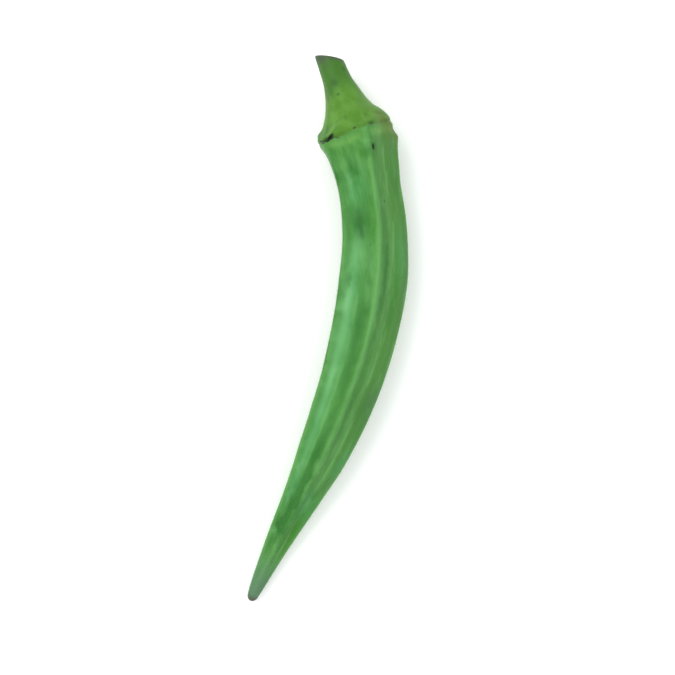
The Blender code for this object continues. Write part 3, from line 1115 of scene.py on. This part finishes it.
@dataclass(frozen=True)
class FreshOkraSkin:
    """Fresh okra skin: a thin green rind under a waxy bloom.

    The wax scatters light, so gloss is low and broad, and the green is pale and bluish where it lies thick.
    Fine fibres run lengthwise under it. The calyx's scar dries dark, and the stem and the beak bruise
    grey-brown. The tints lie under the ridges, the lip and the beak, and the shades lie over these, the cap
    and the stem. Part of the colour is painted light: painted highlights on the ridges, the lip, short dashes
    and the left side that faces the lamp, and painted shade in the furrows, the dents, the scar's groove and
    along the flanks. The coordinates of the spots are shaken by a millimetre or two, for uneven edges.
    """

    rind: str = "#3e7c2e"
    deep: str = "#256519"
    fibre: str = "#4d8945"
    wax: str = "#67a265"
    # Pale green of the threads and seams, and of the painted highlights on the ridges and dashes.
    rib: str = "#5c984e"
    # Painted shade for the furrows.
    furrow: str = "#225d18"
    # The lip's pale green, a painted highlight.
    lip: str = "#609844"
    cap: str = "#518326"
    cap_deep: str = "#447613"
    stem: str = "#386918"
    bruise: str = "#3f4c36"
    # Dark green of the scar's edge, partly painted shade of its groove; the near black below also paints
    # shade in the dents.
    scar_edge: str = "#1f4a10"
    scar: str = "#0b1f08"
    beak: str = "#55745a"
    beak_end: str = "#4a4238"
    pith: str = "#95ac78"
    dry: str = "#8c8058"
    vessel: str = "#56683a"
    fleck: str = "#1f5210"
    sheen: str = "#cfe8b8"
    roughness: float = 0.5
    wax_roughness: float = 0.14
    grain_roughness: float = 0.14
    bump: float = 0.35
    bump_depth: float = 0.06
    most_tint: float = 0.95
    shakes_a_mm: float = 0.35
    shake: Triple = (2.4, 2.4, 4.0)
    flecks_a_mm: float = 0.32
    patterns: tuple[Pattern, ...] = (
        Pattern("broad", 7.0, 22.0, 2.0),
        Pattern("mottle", 2.6, 7.0, 3.0),
        Pattern("strand", 1.0, 16.0, 2.0),
        Pattern("thread", 0.35, 4.0, 2.0),
        Pattern("dash", 1.3, 4.6),
        Pattern("grain", 0.28, 0.32),
        Pattern("cloud", 4.5, 9.0, 2.0),
    )
    tints: tuple[Tint, ...] = (
        # Olive on the right side, partly painted shade where that side turns away from the lamp.
        Tint("olive_and_shaded_side", "#407929", spots(
            (30.0, 30.0, 5.0, 24.0, 0.8), (28.0, 70.0, 4.5, 30.0, 0.85), (30.0, 105.0, 2.5, 18.0, 0.5),
        )),
        # Greyish tone, partly painted shade along the right flank and its outline.
        Tint("grey_and_shaded_flank", "#496f42", spots(
            (-6.0, 40.0, 1.6, 24.0, 0.6), (9.0, 51.0, 0.9, 12.0, 0.6), (-4.0, 85.0, 1.6, 34.0, 0.6),
            (20.0, 21.0, 2.2, 3.0, 0.5), (16.0, 79.0, 1.5, 4.0, 0.6), (12.0, 99.0, 0.9, 8.0, 0.5),
        )),
        # Bluish bloom, with painted highlights on the left side, which faces the lamp.
        Tint("bluish", "#3f8c4c", spots(
            (110.0, 32.0, 2.8, 5.0, 0.4), (122.0, 60.0, 2.4, 20.0, 0.6), (121.0, 88.0, 1.6, 10.0, 0.6),
            (125.0, 102.0, 1.1, 10.0, 0.6), (12.0, 94.0, 1.0, 4.0, 0.5), (35.0, 106.0, 2.2, 3.5, 0.6),
            (20.0, 46.0, 1.6, 6.0, 0.5), (58.0, 105.0, 1.2, 6.0, 0.3),
        )),
        Tint("sunny", "#307412", spots(
            (89.0, 40.0, 1.4, 5.0, 1.0), (27.0, 56.0, 2.6, 9.0, 0.5), (58.0, 72.0, 1.2, 6.0, 0.7),
            (84.0, 23.0, 2.0, 2.0, 0.5), (122.0, 22.5, 1.5, 1.5, 0.5), (95.0, 79.0, 1.0, 3.0, 0.4),
            (40.0, 112.0, 1.6, 4.0, 0.8),
        )),
        # Pale spots that are painted highlights, most of them on the ridges and the lip.
        Tint("pale", "#54924a", spots(
            (82.0, 49.0, 1.1, 6.0, 0.6), (78.0, 31.0, 0.7, 4.0, 0.4), (45.0, 50.0, 1.6, 9.0, 0.4),
            (45.0, 74.0, 1.2, 4.0, 0.4), (40.0, 98.0, 1.0, 3.0, 0.4), (130.0, 74.5, 1.0, 1.9, 0.8),
            (119.0, 20.6, 0.9, 0.4, 0.5), (78.0, 20.3, 1.2, 0.9, 0.95), (128.0, 25.5, 1.2, 3.5, 0.6),
            (74.0, 57.5, 0.9, 6.0, 0.95), (88.0, 55.0, 1.2, 3.0, 0.4), (70.0, 94.0, 0.6, 16.0, 0.6),
            (50.0, 84.0, 1.0, 3.0, 0.5), (45.0, 90.0, 1.0, 2.0, 0.4), (74.0, 22.0, 0.3, 0.7, 0.6),
        )),
        # Thick wax bloom, which also roughens the skin, with painted highlights where the left side faces the
        # lamp.
        Tint("waxy", "#67a567", spots(
            (124.0, 29.5, 0.7, 3.0, 0.6), (123.0, 47.0, 1.3, 4.0, 0.5), (128.0, 57.5, 1.6, 4.6, 0.95),
            (125.0, 67.0, 1.8, 4.6, 0.65), (127.0, 76.0, 1.3, 4.0, 0.8), (124.0, 84.0, 1.2, 4.0, 0.45),
            (121.0, 92.0, 1.4, 3.0, 0.35), (127.0, 98.0, 0.8, 4.0, 0.55), (125.0, 105.0, 0.6, 3.5, 0.6),
            (121.0, 113.8, 1.1, 1.1, 1.0),
        )),
    )
    shades: tuple[Tint, ...] = (
        # Darker patches, and painted shade along the left outline and by the scar.
        Tint("dark_patch_and_shade", "#1e6317", spots(
            (113.0, 38.8, 3.0, 3.4, 1.0), (114.0, 26.6, 1.3, 2.2, 0.9), (165.0, 18.0, 2.2, 1.7, 0.8),
            (147.0, 27.0, 0.9, 10.0, 0.8), (147.0, 62.0, 0.6, 34.0, 0.6), (131.0, 53.0, 0.9, 1.6, 0.55),
            (80.0, 23.5, 1.0, 1.4, 0.6), (61.0, 49.0, 0.8, 12.0, 0.85), (97.0, 62.0, 1.7, 6.5, 0.75),
            (93.0, 73.5, 1.5, 7.0, 0.65), (89.0, 86.0, 1.2, 5.0, 0.45), (95.0, 93.0, 1.5, 5.0, 0.85),
            (98.0, 104.0, 1.7, 9.0, 0.88), (97.0, 112.0, 1.7, 5.0, 0.9), (83.0, 101.0, 0.5, 13.0, 0.5),
            (25.0, 80.0, 2.2, 5.0, 0.4), (66.0, 82.0, 0.7, 8.0, 0.5), (20.0, 31.0, 1.5, 6.0, 0.3),
            (40.0, 103.0, 1.2, 4.0, 0.3), (36.0, 58.0, 1.5, 5.0, 0.35),
        )),
        Tint("dark_core", "#174d18", spots(
            (111.0, 41.0, 0.7, 2.0, 0.6), (64.0, 22.4, 0.6, 2.0, 0.6), (120.0, 112.0, 0.4, 0.8, 0.4),
        )),
        Tint("olive", "#4e6a12", spots(
            (22.0, 17.4, 3.2, 3.4, 0.95), (2.0, 19.0, 1.6, 3.0, 0.5),
        )),
    )
    bruises: tuple[Spot, ...] = spots(
        (150.0, 0.6, 2.2, 1.8, 1.0), (150.0, 9.0, 0.7, 3.0, 0.5), (10.0, 0.4, 2.0, 0.7, 0.6),
    )
    stem_marks: tuple[Spot, ...] = spots(
        (104.0, 6.4, 0.9, 1.1, 0.8), (104.0, 9.4, 0.35, 0.4, 1.0), (128.0, 8.0, 0.8, 3.0, 0.5),
        (42.0, 3.2, 0.5, 0.6, 0.8), (64.0, 17.5, 0.9, 0.5, 0.7), (140.0, 17.0, 1.2, 1.6, 0.5),
    )

    def masks(self, form: PodForm) -> tuple[Step, ...]:
        """Return the sums that turn attributes and patterns into masks.

        Args:
            form: The pod's form, for the places along it.

        Returns:
            The steps, in order.
        """
        return (
            # Below the scar or above it, and how far along the beak.
            ("below_scar", "RISE", "scar_mm", -0.3, 0.5),
            ("above_scar", "SUBTRACT", 1.0, "below_scar"),
            ("to_beak", "RISE", "place", 116.0, form.length),
            ("body", "SUBTRACT", "below_scar", "to_beak"),
            # Deeper green in long clouds, broken up by the mottle.
            ("deep_broad", "RISE", "broad", 0.58, 0.34),
            ("deep_mottle", "RISE", "mottle", 0.62, 0.3),
            ("deep_both", "MULTIPLY", "deep_broad", "deep_mottle"),
            ("deep_part", "MULTIPLY_ADD", "deep_broad", 0.35, "deep_both"),
            ("deep_mask", "MULTIPLY", "deep_part", 0.7),
            # Fibres, short pale dashes that are painted highlights, with darker gaps, and fine threads.
            ("fibre_part", "RISE", "strand", 0.5, 0.72),
            ("fibre_mask", "MULTIPLY", "fibre_part", 0.36),
            ("dash_highlight_part", "RISE", "dash", 0.54, 0.68),
            ("dash_highlight_mask", "MULTIPLY", "dash_highlight_part", 0.26),
            ("gap_part", "RISE", "dash", 0.44, 0.3),
            ("gap_mask", "MULTIPLY", "gap_part", 0.22),
            ("thread_part", "RISE", "thread", 0.5, 0.75),
            ("thread_mask", "MULTIPLY", "thread_part", 0.3),
            # Paler over the seeds' swellings, and where the wax lies thick.
            ("seed_mask", "MULTIPLY", "seed", 0.3),
            ("wax_cloud", "RISE", "cloud", 0.52, 0.72),
            ("wax_some", "MULTIPLY", "wax_cloud", "below_scar"),
            ("wax_mask", "MULTIPLY", "wax_some", 0.3),
            # The pale line of each ridge, a painted highlight, broken up by the mottle.
            ("rib_waver", "MULTIPLY_ADD", "mottle", 1.6, "crest_mm"),
            ("rib_off", "ADD", "rib_waver", -0.85),
            ("rib_line", "HUMP", "rib_off", 0.5, 1.0),
            ("rib_line_broken", "MULTIPLY_ADD", "mottle", 1.5, -0.05),
            ("rib_here", "MULTIPLY", "rib_line", "rib_line_broken"),
            ("ridge_highlight_mask", "MULTIPLY", "rib_here", "body"),
            # Painted shade in the furrow before each ridge, faint on every second side.
            ("before_crest", "RISE", "share", 0.4, 0.7),
            ("odd_side", "MODULO", "side", 2.0),
            ("side_weight", "MULTIPLY_ADD", "odd_side", -0.75, 1.0),
            ("off_furrow", "ADD", "crest_mm", -1.2),
            ("furrow_line", "HUMP", "off_furrow", 0.45, 0.4),
            ("furrow_side", "MULTIPLY", "before_crest", "side_weight"),
            ("furrow_broken", "RISE", "cloud", 0.3, 0.6),
            ("furrow_some", "MULTIPLY", "furrow_line", "furrow_broken"),
            ("furrow_here", "MULTIPLY", "furrow_some", "furrow_side"),
            ("furrow_shade_mask", "MULTIPLY", "furrow_here", "body"),
            # The pale seam along the middle of each side, which comes and goes.
            ("seam_line", "HUMP", "middle_mm", 0.45, 0.7),
            ("seam_worn", "RISE", "mottle", 0.38, 0.62),
            ("seam_here", "MULTIPLY", "seam_line", "seam_worn"),
            ("seam_mask", "MULTIPLY", "seam_here", "body"),
            # The cap's deeper patches, and the stem.
            ("cap_deep_part", "RISE", "mottle", 0.66, 0.36),
            ("cap_deep_mask", "MULTIPLY", "cap_deep_part", "above_scar"),
            ("up_stem", "RISE", "place", 11.0, 4.0),
            ("stem_mask", "MULTIPLY", "up_stem", "above_scar"),
            # The pale band on the lip below the scar, a painted highlight, which breaks off at the ridges.
            ("lip_far", "ADD", "scar_mm", -1.5),
            ("lip_band", "HUMP", "lip_far", 0.8, 1.0),
            ("lip_broken", "MULTIPLY_ADD", "mottle", 1.6, -0.1),
            ("lip_off", "HUMP", "crest_mm", 1.0, 0.9),
            ("lip_on", "SUBTRACT", "lip_broken", "lip_off"),
            ("lip_kept", "MAXIMUM", "lip_on", 0.0),
            ("lip_all", "MULTIPLY", "lip_band", "lip_kept"),
            ("lip_highlight_mask", "MINIMUM", "lip_all", 0.9),
            # The scar, a thin line where it has healed and dark where it gapes, its dark edge partly painted
            # shade of its groove, and painted shade in the dents.
            ("edge_line", "HUMP", "scar_mm", 0.42, 1.0),
            ("edge_some", "MULTIPLY_ADD", "open", 0.75, 0.12),
            ("scar_edge_and_shade_mask", "MULTIPLY", "edge_line", "edge_some"),
            ("scar_line", "HUMP", "scar_mm", 0.2, 1.0),
            ("scar_open", "MINIMUM", "open", 0.95),
            ("scar_mask", "MULTIPLY", "scar_line", "scar_open"),
            ("dent_shade_mask", "RISE", "dent", 0.04, 0.2),
            # The bracts' pits, the marks on the cap, and the bruises, most of them by the cut.
            ("bract_mask", "MULTIPLY", "bract", 0.45),
            ("stem_mark_mask", "MINIMUM", "stem_marked", 0.9),
            ("cut_near", "RISE", "place", 1.6, 0.0),
            ("bruise_cloud", "RISE", "cloud", 0.36, 0.56),
            ("cut_bruise", "MULTIPLY", "cut_near", "bruise_cloud"),
            ("bruise_all", "ADD", "cut_bruise", "bruised"),
            ("bruise_mask", "MINIMUM", "bruise_all", 0.9),
            # The grey beak with its dry end, and a few dark flecks.
            ("beak_mask", "MULTIPLY", "to_beak", 0.9),
            ("end_mask", "RISE", "place", form.length - 2.0, form.length),
            ("fleck_drop", "RISE", "fleck_gap", 0.13, 0.05),
            ("fleck_rare", "RISE", "cloud", 0.6, 0.72),
            ("fleck_mask", "MULTIPLY", "fleck_drop", "fleck_rare"),
            # The cut face: pale pith that dries brown in places, with a ring of vessels.
            ("pith_mask", "RISE", "cut_in", 0.0, 0.12),
            ("vessel_waver", "MULTIPLY_ADD", "thread", 0.14, "cut_in"),
            ("vessel_off", "ADD", "vessel_waver", -0.4),
            ("vessel_line", "HUMP", "vessel_off", 0.1, 0.9),
            ("vessel_dots", "RISE", "grain", 0.42, 0.56),
            ("vessel_some", "MULTIPLY", "vessel_line", "vessel_dots"),
            ("vessel_mask", "MULTIPLY", "vessel_some", "pith_mask"),
            ("dry_part", "RISE", "grain", 0.5, 0.3),
            ("dry_some", "MULTIPLY_ADD", "dry_part", 0.35, 0.1),
            ("dry_mask", "MULTIPLY", "dry_some", "pith_mask"),
            # The roughness, and the height of the fibres and grains that the bump shows.
            ("rough_wax", "MULTIPLY", "waxy", self.wax_roughness),
            ("rough_grain", "MULTIPLY_ADD", "grain", self.grain_roughness, "rough_wax"),
            ("rough", "ADD", "rough_grain", self.roughness - self.grain_roughness / 2),
            ("relief_thread", "MULTIPLY", "thread", 0.6),
            ("relief_strand", "MULTIPLY_ADD", "strand", 0.7, "relief_thread"),
            ("relief_all", "MULTIPLY_ADD", "grain", 0.5, "relief_strand"),
        )

    def layers(self) -> tuple[tuple[str, str], ...]:
        """Return the colours laid over the rind, from the ground up, each with its mask's name."""
        return (
            ("deep_mask", self.deep),
            ("fibre_mask", self.fibre),
            ("gap_mask", self.deep),
            ("thread_mask", self.rib),
            ("seed_mask", self.fibre),
            ("wax_mask", self.wax),
            *((tint.name, tint.colour) for tint in self.tints),
            ("dash_highlight_mask", self.rib),
            ("seam_mask", self.rib),
            ("ridge_highlight_mask", self.rib),
            ("furrow_shade_mask", self.furrow),
            ("lip_highlight_mask", self.lip),
            ("beak_mask", self.beak),
            ("above_scar", self.cap),
            ("cap_deep_mask", self.cap_deep),
            ("stem_mask", self.stem),
            *((shade.name, shade.colour) for shade in self.shades),
            ("stem_mark_mask", self.fleck),
            ("fleck_mask", self.fleck),
            ("bract_mask", self.fleck),
            ("scar_edge_and_shade_mask", self.scar_edge),
            ("scar_mask", self.scar),
            ("dent_shade_mask", self.scar),
            ("bruise_mask", self.bruise),
            ("end_mask", self.beak_end),
            ("pith_mask", self.pith),
            ("dry_mask", self.dry),
            ("vessel_mask", self.vessel),
        )

    def material(self, form: PodForm) -> Material:
        """Make the skin's material.

        Args:
            form: The pod's form, for the places along it.

        Returns:
            The material.
        """
        material, tree = new_material("fresh_okra_skin")
        known: Sockets = {}
        for name in (*SKIN_MARKS, "place", "share", "side"):
            known[name] = add(tree, "ShaderNodeAttribute", {"attribute_name": name}).outputs["Fac"]
        chart = add(tree, "ShaderNodeAttribute", {"attribute_name": "unrolled"}).outputs["Vector"]
        draw_patterns(tree, chart, self.patterns, known)
        shaken = self.shaken(tree, chart)
        for tint in self.tints + self.shades:
            draw_spots(tree, shaken, tint.name, tint.spots, form, known)
            work_out(tree, ((tint.name, "MINIMUM", tint.name, self.most_tint),), known)
        draw_spots(tree, shaken, "bruised", self.bruises, form, known)
        draw_spots(tree, chart, "stem_marked", self.stem_marks, form, known)
        inputs = {"Vector": chart, "Scale": self.flecks_a_mm, "Randomness": 1.0}
        flecks = add(tree, "ShaderNodeTexVoronoi", {"feature": "F1"}, inputs)
        known["fleck_gap"] = flecks.outputs["Distance"]
        work_out(tree, self.masks(form), known)
        inputs = {"Strength": self.bump, "Distance": self.bump_depth * MM, "Height": known["relief_all"]}
        bump = add(tree, "ShaderNodeBump", {}, inputs)
        surface = {
            "Base Color": layered(tree, self.rind, self.layers(), known),
            "Roughness": known["rough"],
            "Normal": bump.outputs[0],
            "IOR": 1.45,
            "Specular IOR Level": 0.3,
            "Subsurface Weight": 0.06,
            "Subsurface Radius": (0.5, 1.0, 0.35),
            "Subsurface Scale": MM,
            "Sheen Weight": 0.02,
            "Sheen Roughness": 0.4,
            "Sheen Tint": linear(self.sheen),
        }
        end_material(tree, surface)
        return material

    def shaken(self, tree: Tree, chart: Socket) -> Socket:
        """Add the coordinates on which soft spots get uneven edges.

        Args:
            tree: The material's tree.
            chart: The coordinates, in millimetres, with the length along the pod last.

        Returns:
            The coordinates, moved at random by up to half the shake either way.
        """
        inputs = {"Vector": chart, "Scale": self.shakes_a_mm, "Detail": 4.0}
        shake = add(tree, "ShaderNodeTexNoise", {}, inputs)
        inputs = {0: shake.outputs["Color"], 1: self.shake, 2: chart}
        moved = add(tree, "ShaderNodeVectorMath", {"operation": "MULTIPLY_ADD"}, inputs)
        inputs = {0: moved.outputs[0], 1: Vector(self.shake) / -2}
        return add(tree, "ShaderNodeVectorMath", {"operation": "ADD"}, inputs).outputs[0]


@dataclass(frozen=True)
class PlainFinish:
    """A finish of one substance whose colour varies a little from place to place."""

    name: str
    colour: str
    other: str
    grain: float
    roughness: float
    glow: float = 0.0

    def material(self) -> Material:
        """Make the finish's material.

        Returns:
            The material.
        """
        material, tree = new_material(self.name)
        chart = add(tree, "ShaderNodeTexCoord").outputs["Object"]
        inputs = {"Vector": chart, "Scale": 1 / (self.grain * MM), "Detail": 2.0}
        known = {"noise": add(tree, "ShaderNodeTexNoise", {}, inputs).outputs[0]}
        work_out(tree, (("mask", "RISE", "noise", 0.35, 0.65),), known)
        surface = {
            "Base Color": layered(tree, self.colour, (("mask", self.other),), known),
            "Roughness": self.roughness,
            "Emission Color": linear(self.colour),
            "Emission Strength": self.glow,
        }
        end_material(tree, surface)
        return material


class SmallFinish(Enum):
    """The finishes of the small pieces and of the floor."""

    # Plant hairs: dull and a little paler than the skin, so that they only soften its edge.
    DOWN = PlainFinish("okra_down", "#7fae5e", "#5f9448", 3.0, 0.6)
    # Dried calyx: nearly black flakes without gloss.
    SHRED = PlainFinish("dried_calyx", "#16260a", "#33301a", 0.8, 0.9)
    # Matt white card: an even ground that takes soft shadows, and glows a little so that it stays white.
    FLOOR = PlainFinish("matt_white_card", "#f6f6f4", "#f4f4f2", 60.0, 0.9, glow=0.1)


# --- Down and shreds ---------------------------------------------------------------------------------------


@dataclass
class Sprinkling:
    """Small pieces that one tree sets at random points of the skin.

    A kind of piece says what its tree reads from the skin, where the pieces may sit and how densely, which of
    their axes points which way, how far they stray from it, and what share of the full size they have.
    """

    density: float
    seed: int

    name: ClassVar[str]
    tree_name: ClassVar[str]
    marks: ClassVar[tuple[str, ...]]
    steps: ClassVar[tuple[Step, ...]]
    align: ClassVar[Mapping[str, str]]
    stray: ClassVar[tuple[Triple, Triple]]
    scales: ClassVar[tuple[float, float]]

    def sizes(self) -> dict[str, float]:
        """Return the tree's named sizes."""
        return {"Density": self.density / MM**2, "Seed": self.seed}

    def aim(self, tree: Tree, normal: Socket) -> Socket:
        """Return which way a piece points where the skin has this normal."""
        raise NotImplementedError

    def shape(self, tree: Tree, known: Sockets) -> Socket:
        """Add one full-sized piece."""
        raise NotImplementedError

    def tree(self) -> Tree:
        """Make the tree that sets the pieces on the skin.

        Returns:
            The tree.
        """
        tree, entry, known = new_tree(self.tree_name, self.sizes(), self.marks)
        at = add(tree, "GeometryNodeInputPosition")
        known["height"] = add(tree, "ShaderNodeSeparateXYZ", {}, {0: at.outputs[0]}).outputs["Z"]
        work_out(tree, self.steps, known)
        seed = known["Seed"]
        inputs = {
            "Mesh": entry.outputs["Geometry"],
            "Selection": known["kept"],
            "Density": known["dense"],
            "Seed": seed,
        }
        spread = add(tree, "GeometryNodeDistributePointsOnFaces", {"distribute_method": "RANDOM"}, inputs)
        inputs = {0: self.stray[0], 1: self.stray[1], "Seed": seed}
        stray = add(tree, "FunctionNodeRandomValue", {"data_type": "FLOAT_VECTOR"}, inputs)
        inputs = {0: self.aim(tree, spread.outputs["Normal"]), 1: stray.outputs[0]}
        way = add(tree, "ShaderNodeVectorMath", {"operation": "ADD"}, inputs)
        inputs = {"Rotation": spread.outputs["Rotation"], "Vector": way.outputs[0]}
        turn = add(tree, "FunctionNodeAlignRotationToVector", self.align, inputs)
        inputs = {2: self.scales[0], 3: self.scales[1], "Seed": seed}
        scale = add(tree, "FunctionNodeRandomValue", {"data_type": "FLOAT"}, inputs)
        inputs = {
            "Points": spread.outputs["Points"],
            "Instance": self.shape(tree, known),
            "Rotation": turn.outputs[0],
            "Scale": scale.outputs[1],
        }
        placed = add(tree, "GeometryNodeInstanceOnPoints", {}, inputs)
        end_tree(tree, entry, placed.outputs[0])
        return tree

    def build(self, skin: Object, material: Material) -> Object:
        """Set the pieces on the skin.

        Args:
            skin: The pod's skin.
            material: The pieces' material.

        Returns:
            All the pieces, as one mesh.
        """
        pieces = grow(skin, self.tree(), self.name, material, self.sizes())
        faces_outward(pieces)
        return pieces


@dataclass
class Down(Sprinkling):
    """The short stiff hairs of the rind, thickest on the ridges, the beak and the edge of the scar."""

    density: float = 2.8
    seed: int = 11
    length: float = 0.34
    width: float = 0.045
    base: float = 0.3
    clear_of_floor: float = 0.7

    name = "okra_pod_down"
    tree_name = "okra_down"
    marks = ("crest_mm", "scar_mm", "cut_in", "place")
    steps = (
        ("ridge", "HUMP", "crest_mm", 0.9, 1.0),
        ("edge", "HUMP", "scar_mm", 1.6, 0.6),
        ("tip", "RISE", "place", 100.0, 128.0),
        ("some", "ADD", "ridge", "edge"),
        ("more", "ADD", "some", "tip"),
        ("all", "ADD", "more", "Base"),
        ("dense", "MULTIPLY", "all", "Density"),
        ("off_floor", "GREATER_THAN", "height", "Clear of floor"),
        ("on_skin", "LESS_THAN", "cut_in", 0.01),
        ("kept", "MULTIPLY", "off_floor", "on_skin"),
    )
    align = {"axis": "Z"}
    stray = ((-0.55, -1.1, -0.35), (0.55, 0.1, 0.35))
    scales = (0.5, 1.25)

    def sizes(self) -> dict[str, float]:
        """Return the tree's named sizes."""
        return {
            "Length": self.length * MM,
            "Radius": self.width / 2 * MM,
            "Base": self.base,
            "Clear of floor": self.clear_of_floor * MM,
            **super().sizes(),
        }

    def aim(self, tree: Tree, normal: Socket) -> Socket:
        """Return the normal, because a hair stands on the skin."""
        return normal

    def shape(self, tree: Tree, known: Sockets) -> Socket:
        """Add a three-sided spike."""
        inputs = {
            "Vertices": 3,
            "Side Segments": 1,
            "Radius Top": 0.0,
            "Radius Bottom": known["Radius"],
            "Depth": known["Length"],
        }
        return add(tree, "GeometryNodeMeshCone", {"fill_type": "NGON"}, inputs).outputs["Mesh"]


@dataclass
class CalyxShreds(Sprinkling):
    """The dry shreds that the fallen calyx left in its scar, most of them where it gapes."""

    density: float = 0.9
    seed: int = 5
    length: float = 0.85
    width: float = 0.3
    thickness: float = 0.16
    reach: float = 0.3

    name = "okra_pod_calyx_shreds"
    tree_name = "calyx_shreds"
    marks = ("open", "scar_mm")
    steps = (
        ("off_scar", "ABSOLUTE", "scar_mm"),
        ("in_scar", "LESS_THAN", "off_scar", "Reach"),
        ("off_floor", "GREATER_THAN", "height", MM),
        ("kept", "MULTIPLY", "in_scar", "off_floor"),
        ("some", "ADD", "open", 0.05),
        ("dense", "MULTIPLY", "some", "Density"),
    )
    align = {"axis": "X", "pivot_axis": "Z"}
    stray = ((-0.5, -0.5, -0.5), (0.5, 0.5, 0.5))
    scales = (0.45, 1.2)
    pod_way: ClassVar[Triple] = (0.25, -1.0, 0.1)

    def sizes(self) -> dict[str, float]:
        """Return the tree's named sizes."""
        return {
            "Length": self.length * MM,
            "Width": self.width * MM,
            "Thickness": self.thickness * MM,
            "Reach": self.reach,
            **super().sizes(),
        }

    def aim(self, tree: Tree, normal: Socket) -> Socket:
        """Return the way round the pod, because a shred lies along the scar."""
        inputs = {0: normal, 1: self.pod_way}
        return add(tree, "ShaderNodeVectorMath", {"operation": "CROSS_PRODUCT"}, inputs).outputs[0]

    def shape(self, tree: Tree, known: Sockets) -> Socket:
        """Add a small flat flake.

        Args:
            tree: The tree that gets the nodes.
            known: The sockets by name.

        Returns:
            The flake.
        """
        ball = add(tree, "GeometryNodeMeshIcoSphere", {}, {"Radius": 0.5, "Subdivisions": 2})
        inputs = {0: known["Length"], 1: known["Width"], 2: known["Thickness"]}
        size = add(tree, "ShaderNodeCombineXYZ", {}, inputs)
        inputs = {"Geometry": ball.outputs["Mesh"], "Scale": size.outputs[0]}
        return add(tree, "GeometryNodeTransform", {}, inputs).outputs[0]


# --- The studio --------------------------------------------------------------------------------------------


@dataclass
class Studio:
    """A white card under soft light, seen straight from above with the pod leaning a little.

    Its sizes are metres.
    """

    floor_size: float = 6.0
    floor_drop: float = 0.0002
    roll: float = 8.3
    lens: float = 110.0
    distance: float = 0.47
    sky: float = 1.2
    sky_colour: str = "#fbfdff"
    lamp_place: Triple = (-0.42, 0.25, 0.62)
    lamp_side: float = 0.5
    lamp_power: float = 2.2

    def floor(self) -> Object:
        """Lay the card.

        Returns:
            The card.
        """
        half = self.floor_size / 2
        mesh = bpy.data.meshes.new("white_card")
        corners = [(-half, -half), (half, -half), (half, half), (-half, half)]
        mesh.from_pydata([(x, y, -self.floor_drop) for x, y in corners], [], [(0, 1, 2, 3)])
        mesh.materials.append(SmallFinish.FLOOR.value.material())
        card = put("white_card", mesh)
        card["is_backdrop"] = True
        return card

    def lights(self, aim: Vector) -> None:
        """Light the scene with an even sky and one broad lamp.

        Args:
            aim: The point that the lamp faces.
        """
        world = bpy.data.worlds.new("soft_sky")
        world.use_nodes = True
        sky = world.node_tree.nodes["Background"]
        sky.inputs["Color"].default_value = linear(self.sky_colour)
        sky.inputs["Strength"].default_value = self.sky
        bpy.context.scene.world = world
        data = bpy.data.lights.new("broad_lamp", "AREA")
        data.size = self.lamp_side
        data.energy = self.lamp_power
        lamp = put("broad_lamp", data)
        lamp.location = self.lamp_place
        lamp.rotation_euler = (aim - lamp.location).to_track_quat("-Z", "Y").to_euler()

    def camera(self, aim: Vector) -> None:
        """Set the camera straight above a point.

        Args:
            aim: The point in the middle of the picture.
        """
        data = bpy.data.cameras.new("camera")
        data.lens = self.lens
        camera = put("camera", data)
        camera.location = aim + Vector((0.0, 0.0, self.distance))
        camera.rotation_euler = (0.0, 0.0, math.radians(self.roll))
        bpy.context.scene.camera = camera

    def build(self, aim: Vector) -> None:
        """Make the floor, the lights and the camera.

        Args:
            aim: The middle of the pod.
        """
        self.floor()
        self.lights(aim)
        self.camera(aim)
        bpy.context.scene.view_settings.view_transform = "Standard"


def join_part(piece: Object) -> None:
    """Make a piece ride with the pod, and log its name and size.

    Args:
        piece: The finished piece.
    """
    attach(piece, BODY)
    piece.data.calc_loop_triangles()
    LOG.info("%s: %d triangles", piece.name, len(piece.data.loop_triangles))


def main() -> None:
    """Build the pod and its studio."""
    logging.basicConfig(level=logging.INFO, format="%(name)s %(message)s")
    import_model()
    form = PodForm()
    skin = PodSkin(form).build(FreshOkraSkin().material(form))
    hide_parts(NODE)
    join_part(skin)
    join_part(Down().build(skin, SmallFinish.DOWN.value.material()))
    join_part(CalyxShreds().build(skin, SmallFinish.SHRED.value.material()))
    low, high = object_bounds()
    Studio().build((low + high) / 2)


if __name__ == "__main__":
    main()
